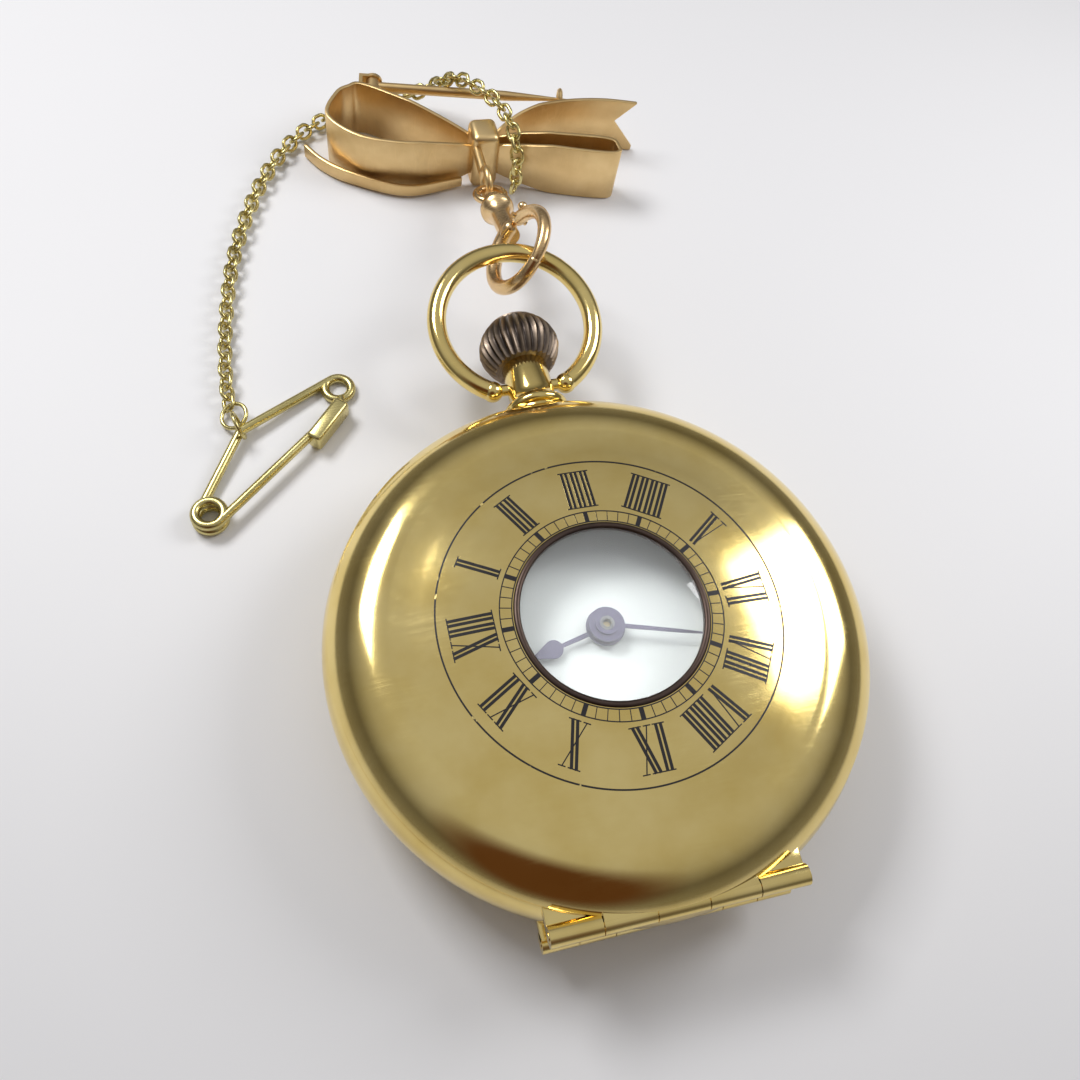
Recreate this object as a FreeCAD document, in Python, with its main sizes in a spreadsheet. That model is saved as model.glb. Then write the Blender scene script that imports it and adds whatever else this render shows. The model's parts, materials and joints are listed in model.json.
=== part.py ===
"""Half hunter pocket watch on a ribbon-bow brooch, with its safety chain, in millimetres.

The watch lies on its back on the plane Z = 0, its dial facing +Z and its crown towards +Y.
The origin is the middle of the back cover's flat.
"""
import FreeCAD
import Part
import Sketcher
import math
import os

from FreeCAD import Placement, Rotation, Vector

DIMENSIONS = (
    # Case
    ("case_radius", 17.0, "widest radius of the case band"),
    ("band_sag", 0.5, "rise of the band's bulge above its two edges"),
    ("band_bottom", 3.1, "height of the band's lower edge"),
    ("band_height", 3.4, "height of the band"),
    ("band_wall", 2.4, "depth of the band from its widest radius to its bore"),
    ("ledge_reach", 0.65, "how far the ledge that carries the movement stands into the bore"),
    ("ledge_height", 0.6, "thickness of that ledge"),
    ("cover_gap", 0.05, "gap between a cover's rim and the band"),
    ("cover_wall", 0.45, "wall of the covers"),
    ("cover_rim", 0.4, "straight height of a cover's rim"),
    ("front_rise", 2.95, "height of the front cover's window edge above the band"),
    ("front_shoulder_rise", 2.25, "height of the front cover's shoulder above the band"),
    ("front_shoulder_width", 3.6, "width of the front cover's shoulder"),
    ("shoulder_bend", 4.2, "bend of the covers' shoulders"),
    ("front_dome_bend", 45.0, "bend of the front cover's dome"),
    ("back_flat_radius", 9.0, "radius of the back cover's flat"),
    ("back_shoulder_width", 3.3, "width of the back cover's shoulder"),
    ("back_shoulder_rise", 0.5, "height of the back cover there"),
    ("back_dome_bend", 22.0, "bend of the back cover's dome"),
    ("window_radius", 5.45, "visible radius of the round window"),
    ("window_rim_width", 0.4, "width of the dark rim round the window"),
    ("window_glass_thickness", 0.25, "edge thickness of the window glass"),
    ("window_glass_rise", 0.3, "rise of the window glass over its edge"),
    ("cuvette_gap", 0.25, "gap between the back cover and the inner cover"),
    ("cuvette_wall", 0.25, "wall of the inner cover"),
    ("cuvette_flat_radius", 11.0, "radius of the inner cover's flat"),
    ("cuvette_bend", 8.0, "bend of the inner cover's shoulder"),
    ("cuvette_flange_radius", 15.6, "radius of the inner cover's flange"),
    # Joints of the covers
    ("joint_inset", 0.25, "distance of the cover joints inside the band's edge"),
    ("joint_length", 15.0, "length of the cover joints"),
    ("knuckle_radius", 0.6, "radius of a joint knuckle"),
    ("joint_pin_radius", 0.28, "radius of a joint pin"),
    ("running_gap", 0.04, "radial gap of a pin that turns"),
    ("knuckle_gap", 0.06, "gap beside and round a knuckle"),
    # Pendant, bow, crown and stem
    ("neck_end", 21.2, "distance of the neck's end from the dial's axis"),
    ("neck_radius", 1.62, "radius of the neck's end"),
    ("neck_foot_radius", 1.92, "radius of the neck at the bow"),
    ("neck_bead_radius", 2.25, "radius of the neck's beads"),
    ("sleeve_radius", 0.95, "outer radius of the sleeve in the neck"),
    ("stem_radius", 0.5, "radius of the winding stem"),
    ("stem_square", 0.6, "width of the stem's square"),
    ("crown_radius", 2.9, "radius of the crown"),
    ("crown_length", 3.9, "length of the crown"),
    ("crown_overlap", 0.25, "length of neck inside the crown"),
    ("crown_recess", 0.9, "depth of the crown's recess"),
    ("crown_ribs", 30, "number of ribs round the crown"),
    ("crown_rib_depth", 0.13, "depth of the grooves between the crown's ribs"),
    ("bow_ring_radius", 5.65, "radius of the bow's centreline"),
    ("bow_wire_radius", 0.68, "radius of the bow's wire"),
    ("bow_pivot_distance", 19.3, "distance of the bow's pivot from the dial's axis"),
    ("bow_pin_radius", 0.4, "radius of the pins on the bow's ends"),
    ("bow_tilt", 12.0, "angle by which the bow is raised"),
    # Bezel, crystal, dial and hands
    ("bezel_flange_radius", 15.2, "radius of the bezel's flange"),
    ("bezel_flange_height", 0.25, "height of that flange"),
    ("bezel_top", 1.2, "height of the bezel above the band"),
    ("crystal_radius", 13.35, "radius of the crystal"),
    ("crystal_thickness", 0.32, "thickness of the crystal"),
    ("crystal_rise", 0.35, "rise of the crystal's middle"),
    ("dial_radius", 13.7, "radius of the dial"),
    ("dial_thickness", 0.4, "thickness of the dial"),
    ("dial_hole", 0.95, "radius of the dial's hole"),
    ("hour_hand_length", 5.05, "length of the hour hand"),
    ("minute_hand_length", 6.15, "length of the minute hand"),
    ("hand_thickness", 0.12, "thickness of the hands"),
    ("hour_hand_angle", 193.5, "angle of the hour hand from +X"),
    ("minute_hand_angle", -16.0, "angle of the minute hand from +X"),
    # Movement
    ("plate_radius", 13.8, "radius of the main plate"),
    ("plate_flange_radius", 14.4, "radius of the plate's flange"),
    ("plate_flange_height", 0.3, "height of the plate's flange"),
    ("plate_over_stem", 0.5, "height of the plate's dial face above the stem's axis"),
    ("plate_height", 0.6, "height of the plate under its flange"),
    ("dial_seat", 0.65, "height of the rim that carries the dial"),
    ("train_space", 2.0, "height between the plate and the bridges"),
    ("bridge_height", 0.85, "thickness of the bridges"),
    ("bridge_radius", 12.9, "outer radius of the bridges"),
    ("bridge_foot_radius", 0.9, "radius of the bridges' feet"),
    ("pivot_radius", 0.11, "radius of the pivots"),
    ("pivot_gap", 0.03, "radial gap of the pivots"),
    ("arbor_radius", 0.22, "radius of the arbors"),
    ("jewel_radius", 0.5, "radius of the jewels"),
    ("jewel_height", 0.25, "height of the jewels"),
    ("wheel_thickness", 0.15, "thickness of the train wheels"),
    ("barrel_module", 0.16, "module of the barrel's teeth"),
    ("barrel_teeth", 60, "teeth of the barrel"),
    ("barrel_height", 1.3, "height of the barrel"),
    ("barrel_wall", 0.25, "wall of the barrel"),
    ("centre_pinion_leaves", 10, "leaves of the centre pinion"),
    ("centre_module", 0.138, "module of the centre wheel's teeth"),
    ("centre_teeth", 50, "teeth of the centre wheel"),
    ("third_pinion_leaves", 7, "leaves of the third pinion"),
    ("third_module", 0.132, "module of the third wheel's teeth"),
    ("third_teeth", 45, "teeth of the third wheel"),
    ("fourth_pinion_leaves", 7, "leaves of the fourth pinion"),
    ("fourth_module", 0.126, "module of the fourth wheel's teeth"),
    ("fourth_teeth", 44, "teeth of the fourth wheel"),
    ("escape_pinion_leaves", 6, "leaves of the escape pinion"),
    ("third_bearing", -60.0, "angle of the third wheel seen from the centre wheel"),
    ("fourth_bearing", 0.0, "angle of the fourth wheel seen from the third wheel"),
    ("escape_bearing", 20.0, "angle of the escape wheel seen from the fourth wheel"),
    ("balance_bearing", 102.5, "angle of the balance seen from the escape wheel"),
    ("escape_radius", 1.9, "radius of the escape wheel"),
    ("escape_teeth", 15, "teeth of the escape wheel"),
    ("escape_to_fork", 2.35, "distance from the escape wheel to the fork's pivot"),
    ("fork_to_balance", 3.7, "distance from the fork's pivot to the balance"),
    ("balance_radius", 3.65, "radius of the balance's rim"),
    ("balance_rim", 0.42, "width of the balance's rim"),
    ("hairspring_turns", 4, "turns of the hairspring"),
    ("hairspring_radius", 2.0, "outer radius of the hairspring"),
    ("mainspring_turns", 5, "turns of the mainspring"),
    ("winding_module", 0.275, "module of the crown and ratchet wheels' teeth"),
    ("crown_wheel_teeth", 24, "teeth of the crown wheel"),
    ("ratchet_teeth", 31, "teeth of the ratchet wheel"),
    ("winding_wheel_thickness", 0.28, "thickness of the crown and ratchet wheels"),
    ("crown_wheel_distance", 8.6, "distance of the crown wheel from the dial's axis"),
    ("face_teeth_radius", 1.75, "outer radius of the crown wheel's face teeth"),
    ("face_teeth", 18, "face teeth of the crown wheel"),
    ("winding_pinion_radius", 1.05, "radius of the winding pinion"),
    ("winding_pinion_leaves", 12, "leaves of the winding pinion"),
    ("winding_pinion_length", 1.1, "length of the winding pinion"),
    ("motion_module", 0.12, "module of the motion work's teeth"),
    ("cannon_leaves", 10, "leaves of the cannon pinion"),
    ("minute_wheel_teeth", 30, "teeth of the minute wheel"),
    ("minute_pinion_leaves", 8, "leaves of the minute pinion"),
    ("hour_wheel_teeth", 32, "teeth of the hour wheel"),
    # Swivel
    ("swivel_x", 1.3, "place of the swivel's axis across the watch"),
    ("swivel_rise", 0.3, "height of the swivel's axis over the bow's wire"),
    ("swivel_slope", 18.0, "angle by which the swivel leans down to the brooch"),
    ("hook_radius", 2.95, "radius of the hook's centreline"),
    ("hook_wire_radius", 0.58, "radius of the hook's wire"),
    ("hook_twist", 35.0, "turn of the hook about the swivel's axis"),
    ("swivel_shank_length", 2.5, "length of the shank between hook and base"),
    ("swivel_base_length", 1.6, "length of the flared base"),
    ("gate_start", 66.0, "angle of the gate's rivet round the hook"),
    ("gate_end", -72.0, "angle of the gate's tip round the hook"),
    ("gate_rivet_radius", 0.2, "radius of the gate's rivet"),
    ("swivel_shank_radius", 0.75, "radius of the shank"),
    ("swivel_base_radius", 1.3, "radius of the flared base"),
    ("swivel_ball_radius", 0.85, "radius of the turning ball"),
    ("eye_radius", 1.1, "radius of the eye's centreline"),
    ("eye_wire_radius", 0.33, "radius of the wire of the eye and of the hanging ring"),
    ("eye_distance", 9.2, "distance of the eye from the bow's wire"),
    ("hanging_ring_radius", 1.1, "radius of the hanging ring's centreline"),
    # Brooch
    ("ribbon_height", 4.9, "width of the brooch's ribbon, which stands on edge"),
    ("ribbon_sheet", 0.32, "thickness of the ribbon's sheet"),
    ("knot_x", 2.1, "place of the knot across the watch"),
    ("knot_y", 44.6, "distance of the knot from the dial's axis"),
    ("knot_width", 2.3, "width of the knot"),
    ("knot_depth", 2.6, "depth of the knot"),
    ("knot_bend", 0.85, "rounding of the knot's edges"),
    ("ribbon_pinch", 2.4, "width of the ribbon where the knot holds it"),
    ("brooch_pin_radius", 0.4, "radius of the brooch's pin"),
    ("brooch_pin_height", 3.6, "height of the brooch's pin"),
    ("brooch_pin_length", 16.7, "length of the brooch's pin"),
    ("brooch_pin_bearing", -10.7, "direction of the brooch's pin from +X"),
    # Chain and safety pin
    ("chain_link_length", 1.6, "length of a chain link"),
    ("chain_link_width", 1.3, "width of a chain link"),
    ("chain_wire", 0.3, "thickness of a chain link's wire"),
    ("chain_height", 0.75, "height of the chain's centreline on the table"),
    ("jump_ring_radius", 0.95, "radius of the jump rings' centreline"),
    ("safety_wire_radius", 0.33, "radius of the safety pin's wire"),
    ("safety_coil_radius", 0.95, "radius of the safety pin's coils"),
)


class Size:
    """A size worked out from the sheet: its value now, and the formula that binds it."""

    def __init__(self, value, text):
        self.value = float(value)
        self.text = text

    def _join(self, other, sign, value):
        return Size(value, "(%s) %s (%s)" % (self.text, sign, formula(other)))

    def __add__(self, other):
        return self._join(other, "+", self.value + number(other))

    def __radd__(self, other):
        return Size(other, repr(float(other))) + self

    def __sub__(self, other):
        return self._join(other, "-", self.value - number(other))

    def __rsub__(self, other):
        return Size(other, repr(float(other))) - self

    def __mul__(self, other):
        return self._join(other, "*", self.value * number(other))

    __rmul__ = __mul__

    def __truediv__(self, other):
        return self._join(other, "/", self.value / number(other))

    def __neg__(self):
        return Size(-self.value, "-(%s)" % self.text)


def number(item):
    """The plain value of a size or a number."""
    return item.value if isinstance(item, Size) else float(item)


def formula(item):
    """The formula of a size or a number."""
    return item.text if isinstance(item, Size) else repr(float(item))


def root(item):
    """The square root of a size."""
    return Size(math.sqrt(item.value), "sqrt(%s)" % item.text)


def cosine(item):
    """The cosine of an angle in degrees."""
    return Size(math.cos(math.radians(number(item))), "cos(%s)" % formula(item))


def sine(item):
    """The sine of an angle in degrees."""
    return Size(math.sin(math.radians(number(item))), "sin(%s)" % formula(item))


def bearing_point(centre, distance, bearing):
    """The point at a distance and a bearing from another."""
    return centre[0] + distance * cosine(bearing), centre[1] + distance * sine(bearing)


class Sheet:
    """The document's sheet of driving dimensions, read as sizes by their aliases."""

    def __init__(self, document, rows):
        self._cells = document.addObject("Spreadsheet::Sheet", "Sizes")
        self._values = {}
        for row, (alias, value, note) in enumerate(rows, start=1):
            self._cells.set("A%d" % row, str(value))
            self._cells.setAlias("A%d" % row, alias)
            self._cells.set("B%d" % row, note)
        document.recompute()
        for alias, _, _ in rows:
            self._values[alias] = float(self._cells.get(alias))

    def __getattr__(self, alias):
        if alias.startswith("_"):
            raise AttributeError(alias)
        return Size(self._values[alias], "Sizes." + alias)


doc = FreeCAD.newDocument("half_hunter_watch")
D = Sheet(doc, DIMENSIONS)
NODES = []

X_AXIS = (1, 0, 0)
Y_AXIS = (0, 1, 0)
Z_AXIS = (0, 0, 1)


def keep(obj, label):
    """Name a finished piece of the watch, which becomes one node."""
    obj.Label = label
    NODES.append(obj)
    return obj


def made(label):
    """The shape of a piece kept before."""
    return [obj for obj in NODES if obj.Label == label][0].Shape


def set_size(obj, prop, item):
    """Give a property its value and bind it to the sheet where the value comes from there."""
    setattr(obj, prop, number(item))
    if isinstance(item, Size):
        obj.setExpression(prop, item.text)


def place(obj, at=(0, 0, 0), axis=Z_AXIS, angle=0):
    """Put an object at a bound point, turned by a fixed angle."""
    obj.Placement = Placement(Vector(*[number(c) for c in at]), Rotation(Vector(*axis), number(angle)))
    for letter, item in zip("xyz", at):
        if isinstance(item, Size):
            obj.setExpression("Placement.Base." + letter, item.text)
    if isinstance(angle, Size):
        obj.setExpression("Placement.Rotation.Angle", angle.text)
    return obj


def primitive(kind, at, axis=Z_AXIS, angle=0, **sizes):
    """A Part primitive with bound sizes and place."""
    obj = doc.addObject("Part::" + kind, kind)
    for prop, item in sizes.items():
        set_size(obj, prop, item)
    return place(obj, at, axis, angle)


def cylinder(radius, height, at, axis=Z_AXIS, angle=0):
    return primitive("Cylinder", at, axis, angle, Radius=radius, Height=height)


def along_x(radius, start, length, y, z):
    """A cylinder that lies along X."""
    return cylinder(radius, length, (start, y, z), Y_AXIS, 90)


def along_y(radius, start, length, x, z):
    """A cylinder that lies along Y."""
    return cylinder(radius, length, (x, start, z), X_AXIS, -90)


def box(at, length, width, height):
    return primitive("Box", at, Length=length, Width=width, Height=height)


def cut(base, *tools):
    """The base with each tool taken away."""
    obj = doc.addObject("Part::Cut", "Cut")
    obj.Base = base
    obj.Tool = tools[0] if len(tools) == 1 else fuse(*tools)
    return obj


def fuse(*shapes):
    obj = doc.addObject("Part::MultiFuse", "Fusion")
    obj.Shapes = list(shapes)
    return obj


def common(base, tool):
    obj = doc.addObject("Part::Common", "Common")
    obj.Base = base
    obj.Tool = tool
    return obj


def group(*shapes):
    """Separate solids that share one node."""
    obj = doc.addObject("Part::Compound", "Group")
    obj.Links = list(shapes)
    return obj


def feature(shape, label="Form"):
    """A form that needs its own geometry code."""
    obj = doc.addObject("Part::Feature", label)
    obj.Shape = shape
    return obj


def origin_plane(body, role):
    """One of a body's own origin planes."""
    return [item for item in body.Origin.OriginFeatures if item.Role == role][0]


def arc_middle(start, end, radius):
    """The middle point of the short arc between two points; a positive radius turns left."""
    dx, dy = end[0] - start[0], end[1] - start[1]
    chord = math.hypot(dx, dy)
    depth = math.sqrt(max(radius * radius - chord * chord / 4, 0.0)) - abs(radius)
    side = math.copysign(depth / chord, -radius)
    return (start[0] + dx / 2 - dy * side, start[1] + dy / 2 + dx * side)


def pin_point(sketch, index, position, x, y):
    """Bind one end of a sketch line or arc to its two coordinates."""
    for kind, axis, item in (("DistanceX", -2, x), ("DistanceY", -1, y)):
        if not isinstance(item, Size) and item == 0:
            sketch.addConstraint(Sketcher.Constraint("PointOnObject", index, position, axis))
            continue
        add_bound(sketch, (kind, -1, 1, index, position), item)


def add_bound(sketch, target, item):
    """Add a dimension to a sketch and bind it."""
    place_in_list = sketch.addConstraint(Sketcher.Constraint(*target, number(item)))
    if isinstance(item, Size):
        sketch.setExpression("Constraints[%d]" % place_in_list, item.text)


def draw_outline(sketch, points):
    """Close an outline through (x, y) points; a third entry bends the side that starts there."""
    corners = [(number(p[0]), number(p[1])) for p in points]
    ends = []
    for i, point in enumerate(points):
        start, end = corners[i], corners[(i + 1) % len(points)]
        a, b = Vector(start[0], start[1], 0), Vector(end[0], end[1], 0)
        if len(point) == 3:
            middle = arc_middle(start, end, number(point[2]))
            edge = Part.Arc(a, Vector(middle[0], middle[1], 0), b)
        else:
            edge = Part.LineSegment(a, b)
        index = sketch.addGeometry(edge, False)
        first = 1 if (sketch.getPoint(index, 1) - a).Length < 1e-6 else 2
        ends.append((index, first, 3 - first))
    for i, point in enumerate(points):
        index, first, last = ends[i]
        following, its_first, _ = ends[(i + 1) % len(points)]
        sketch.addConstraint(Sketcher.Constraint("Coincident", index, last, following, its_first))
        pin_point(sketch, index, first, point[0], point[1])
        if len(point) == 3:
            radius = point[2]
            add_bound(sketch, ("Radius", index), radius if number(radius) > 0 else -radius)


def body_with_sketch(points, plane, offset=None):
    """A new body with one closed sketch on one of its origin planes."""
    body = doc.addObject("PartDesign::Body", "Body")
    sketch = body.newObject("Sketcher::SketchObject", "Outline")
    sketch.AttachmentSupport = [(origin_plane(body, plane), "")]
    sketch.MapMode = "FlatFace"
    if offset is not None:
        sketch.AttachmentOffset = Placement(Vector(0, 0, number(offset)), Rotation())
        if isinstance(offset, Size):
            sketch.setExpression("AttachmentOffset.Base.z", offset.text)
    draw_outline(sketch, points)
    return body, sketch


def facet_bends(points, step):
    """An outline whose bent sides are broken into short straight ones, every so many degrees of bend."""
    plain = []
    for i, point in enumerate(points):
        plain.append((point[0], point[1]))
        if len(point) < 3:
            continue
        start = (number(point[0]), number(point[1]))
        following = points[(i + 1) % len(points)]
        end = (number(following[0]), number(following[1]))
        radius = number(point[2])
        dx, dy = end[0] - start[0], end[1] - start[1]
        chord = math.hypot(dx, dy)
        half = math.asin(chord / 2 / abs(radius))
        rise = math.sqrt(radius * radius - chord * chord / 4)
        count = max(1, round(math.degrees(half) * 2 / step))
        for k in range(1, count):
            turn = half - 2 * half * k / count
            along = chord / 2 - abs(radius) * math.sin(turn)
            out = math.copysign(abs(radius) * math.cos(turn) - rise, radius)
            plain.append((start[0] + dx / chord * along + dy / chord * out,
                          start[1] + dy / chord * along - dx / chord * out))
    return plain


def turned(points, plane="XZ_Plane", step=14.0):
    """A body turned about the sketch's upright axis, from an outline of (radius, height) points."""
    body, sketch = body_with_sketch(facet_bends(points, step), plane)
    turn = body.newObject("PartDesign::Revolution", "Turn")
    turn.Profile = sketch
    turn.ReferenceAxis = (sketch, ["V_Axis"])
    turn.Angle = 360
    return body


def padded(points, height, base):
    """A body with a flat outline on the XY plane, raised from its base height."""
    body, sketch = body_with_sketch(points, "XY_Plane", base)
    pad = body.newObject("PartDesign::Pad", "Pad")
    pad.Profile = sketch
    set_size(pad, "Length", height)
    return body


def disc(radius, height, base, x=0, y=0):
    """An upright disc on a bound centre."""
    return cylinder(radius, height, (x, y, base))


# Heights that several pieces share
BAND_EDGE = D.case_radius - D.band_sag
BAND_BORE = D.case_radius - D.band_wall
LEDGE_BORE = BAND_BORE - D.ledge_reach
JOINT_OFFSET = BAND_EDGE - D.joint_inset
FRONT_SHOULDER = BAND_EDGE - D.front_shoulder_width
BACK_SHOULDER = BAND_EDGE - D.back_shoulder_width
BAND_TOP = D.band_bottom + D.band_height
STEM_HEIGHT = D.band_bottom + D.band_height / 2
PLATE_TOP = STEM_HEIGHT + D.plate_over_stem
PLATE_FLANGE_BASE = PLATE_TOP - D.plate_flange_height
PLATE_BASE = PLATE_FLANGE_BASE - D.plate_height
DIAL_BASE = PLATE_TOP + D.dial_seat
DIAL_TOP = DIAL_BASE + D.dial_thickness
BRIDGE_TOP = PLATE_BASE - D.train_space
BRIDGE_BASE = BRIDGE_TOP - D.bridge_height
CUVETTE_BASE = D.cover_wall + D.cuvette_gap


def joint_spans(count):
    """The start and length of each knuckle of a joint with this many knuckles."""
    step = D.joint_length / count
    return [(-D.joint_length / 2 + step * i, step) for i in range(count)]


def knuckles(spans, height, reach, rise):
    """Knuckles with the webs that join them to what they carry."""
    pieces = []
    for start, length in spans:
        x, span = start + D.knuckle_gap / 2, length - D.knuckle_gap
        pieces.append(along_x(D.knuckle_radius, x, span, -JOINT_OFFSET, height))
        pieces.append(box((x, -JOINT_OFFSET, height if rise > 0 else height - D.knuckle_radius),
                          span, reach, D.knuckle_radius))
    return pieces


def knuckle_room(spans, height):
    """The room round the other leaf's knuckles."""
    room = D.knuckle_radius + D.knuckle_gap
    return [along_x(room, start - D.knuckle_gap / 2, length + D.knuckle_gap, -JOINT_OFFSET, height)
            for start, length in spans]


def pin_bore(height):
    """The bore of a joint's pin, through all its knuckles."""
    return along_x(D.joint_pin_radius + D.running_gap, -D.joint_length / 2 - 1, D.joint_length + 2,
                   -JOINT_OFFSET, height)


FRONT_JOINT = BAND_TOP + D.cover_gap / 2
BACK_JOINT = D.band_bottom - D.cover_gap / 2
FRONT_SPANS = joint_spans(5)
BACK_SPANS = joint_spans(7)


def band_bulge():
    """The bend of the band's barrel-shaped wall."""
    half, sag = D.band_height / 2, D.case_radius - BAND_EDGE
    return (half * half + sag * sag) / (sag * 2)


def neck_outline():
    """The pendant neck with its two beads, as (radius, distance) points."""
    bead = D.neck_bead_radius
    foot = D.neck_foot_radius
    start = D.case_radius - 0.05
    return [(0, BAND_BORE + 0.8), (D.neck_radius, BAND_BORE + 0.8), (D.neck_radius, start), (bead, start),
            (bead, start + 0.4, 0.25), (foot, start + 0.55), (bead - 0.12, start + 0.75, 0.2),
            (bead - 0.12, start + 1.05), (foot, start + 1.25), (foot, D.bow_pivot_distance + 0.7),
            (D.neck_radius, D.neck_end), (0, D.neck_end)]


def case_band():
    """The band with its inner ledge, the pendant neck and the middle knuckles of both joints."""
    ring = turned([(BAND_BORE, D.band_bottom), (BAND_EDGE, D.band_bottom, band_bulge()),
                   (BAND_EDGE, BAND_TOP), (BAND_BORE, BAND_TOP),
                   (BAND_BORE, PLATE_FLANGE_BASE), (LEDGE_BORE, PLATE_FLANGE_BASE),
                   (LEDGE_BORE, PLATE_FLANGE_BASE - D.ledge_height),
                   (BAND_BORE, PLATE_FLANGE_BASE - D.ledge_height)])
    neck = place(turned(neck_outline(), "XY_Plane"), (0, 0, STEM_HEIGHT))
    web = JOINT_OFFSET - BAND_BORE - 0.2
    front_own = knuckles(FRONT_SPANS[0::2], FRONT_JOINT, web, -1)
    back_own = knuckles([BACK_SPANS[0], BACK_SPANS[3], BACK_SPANS[6]], BACK_JOINT, web, 1)
    solid = fuse(ring, neck, *front_own, *back_own)
    bores = [along_y(D.sleeve_radius, BAND_BORE - 1.5, D.neck_end, 0, STEM_HEIGHT),
             along_x(D.bow_pin_radius + D.running_gap, -D.neck_bead_radius, D.neck_bead_radius - 1.25,
                     D.bow_pivot_distance, STEM_HEIGHT),
             along_x(D.bow_pin_radius + D.running_gap, 1.25, D.neck_bead_radius - 1.25,
                     D.bow_pivot_distance, STEM_HEIGHT)]
    rooms = knuckle_room(FRONT_SPANS[1::2], FRONT_JOINT)
    rooms += knuckle_room(BACK_SPANS[1:3] + BACK_SPANS[4:6], BACK_JOINT)
    keep(cut(solid, *bores, *rooms, pin_bore(FRONT_JOINT), pin_bore(BACK_JOINT)), "case_band")


def joint_pins():
    """The two pins of the cover joints."""
    for label, height in (("front_joint_pin", FRONT_JOINT), ("back_joint_pin", BACK_JOINT)):
        keep(along_x(D.joint_pin_radius, -D.joint_length / 2, D.joint_length, -JOINT_OFFSET, height), label)


WINDOW_RIM_RADIUS = D.window_radius + D.window_rim_width
FRONT_BASE = BAND_TOP + D.cover_gap
FRONT_DOME = BAND_TOP + D.front_shoulder_rise
FRONT_WINDOW = BAND_TOP + D.front_rise


def front_cover():
    """The domed front cover with its round opening and two knuckles."""
    edge, wall = BAND_EDGE, D.cover_wall
    rim = FRONT_BASE + D.cover_rim
    shell = turned([(edge - wall, FRONT_BASE), (edge, FRONT_BASE), (edge, rim, D.shoulder_bend),
                    (FRONT_SHOULDER, FRONT_DOME, D.front_dome_bend),
                    (WINDOW_RIM_RADIUS, FRONT_WINDOW), (WINDOW_RIM_RADIUS, FRONT_WINDOW - wall,
                                                        -(D.front_dome_bend - wall)),
                    (FRONT_SHOULDER - 0.15, FRONT_DOME - wall, -(D.shoulder_bend - wall)),
                    (edge - wall, rim)])
    own = knuckles(FRONT_SPANS[1::2], FRONT_JOINT, D.knuckle_radius + 0.15, 1)
    solid = cut(shell, *knuckle_room(FRONT_SPANS[0::2], FRONT_JOINT))
    keep(cut(fuse(solid, *own), pin_bore(FRONT_JOINT)), "front_cover")


def window():
    """The dark rim round the window and the small domed glass that it holds."""
    inner, outer = D.window_radius, WINDOW_RIM_RADIUS
    seat = outer - 0.15
    glass_base = FRONT_WINDOW - D.cover_wall
    glass_top = glass_base + D.window_glass_thickness
    keep(turned([(seat, glass_base), (outer, glass_base), (outer, FRONT_WINDOW), (inner, FRONT_WINDOW + 0.08),
                 (inner, glass_top), (seat, glass_top)]), "window_rim")
    rise = D.window_glass_rise
    clear = inner - 0.03
    bend = (clear * clear + rise * rise) / (rise * 2)
    keep(turned([(0, glass_base), (seat, glass_base), (seat, glass_top), (clear, glass_top, bend),
                 (0, glass_top + rise)]), "window_glass")


def back_cover():
    """The back cover, with the flat on which the watch lies."""
    edge, wall = BAND_EDGE, D.cover_wall
    top = D.band_bottom - D.cover_gap
    rim = top - D.cover_rim
    shoulder = (BACK_SHOULDER, D.back_shoulder_rise)
    shell = turned([(0, 0), (D.back_flat_radius, 0, D.back_dome_bend), (*shoulder, D.shoulder_bend),
                    (edge, rim), (edge, top), (edge - wall, top), (edge - wall, rim, -(D.shoulder_bend - wall)),
                    (shoulder[0] - 0.15, shoulder[1] + wall, -(D.back_dome_bend - wall)),
                    (D.back_flat_radius, wall), (0, wall)])
    own = knuckles([BACK_SPANS[1], BACK_SPANS[5]], BACK_JOINT, D.knuckle_radius + 0.15, -1)
    rooms = knuckle_room(BACK_SPANS[0:1] + BACK_SPANS[2:5] + BACK_SPANS[6:7], BACK_JOINT)
    keep(cut(fuse(cut(shell, *rooms), *own), pin_bore(BACK_JOINT)), "back_cover")


def cuvette():
    """The inner dust cover, hinged on the back cover's pin."""
    wall, flange = D.cuvette_wall, D.cuvette_flange_radius
    outer = BAND_BORE
    top = D.band_bottom - D.cover_gap
    shell = turned([(0, CUVETTE_BASE), (D.cuvette_flat_radius, CUVETTE_BASE, D.cuvette_bend),
                    (outer, top - 1.0), (outer, top - wall), (flange, top - wall), (flange, top),
                    (outer - wall, top), (outer - wall, top - 1.0, -(D.cuvette_bend - wall)),
                    (D.cuvette_flat_radius - 0.1, CUVETTE_BASE + wall), (0, CUVETTE_BASE + wall)])
    spans = [BACK_SPANS[2], BACK_SPANS[4]]
    own = []
    for start, length in spans:
        x, span = start + D.knuckle_gap / 2, length - D.knuckle_gap
        own.append(along_x(D.knuckle_radius, x, span, -JOINT_OFFSET, BACK_JOINT))
        own.append(box((x, -JOINT_OFFSET, top - wall), span, JOINT_OFFSET - D.cuvette_flange_radius + 0.6, wall))
    keep(cut(fuse(shell, *own), pin_bore(BACK_JOINT)), "cuvette")


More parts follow.
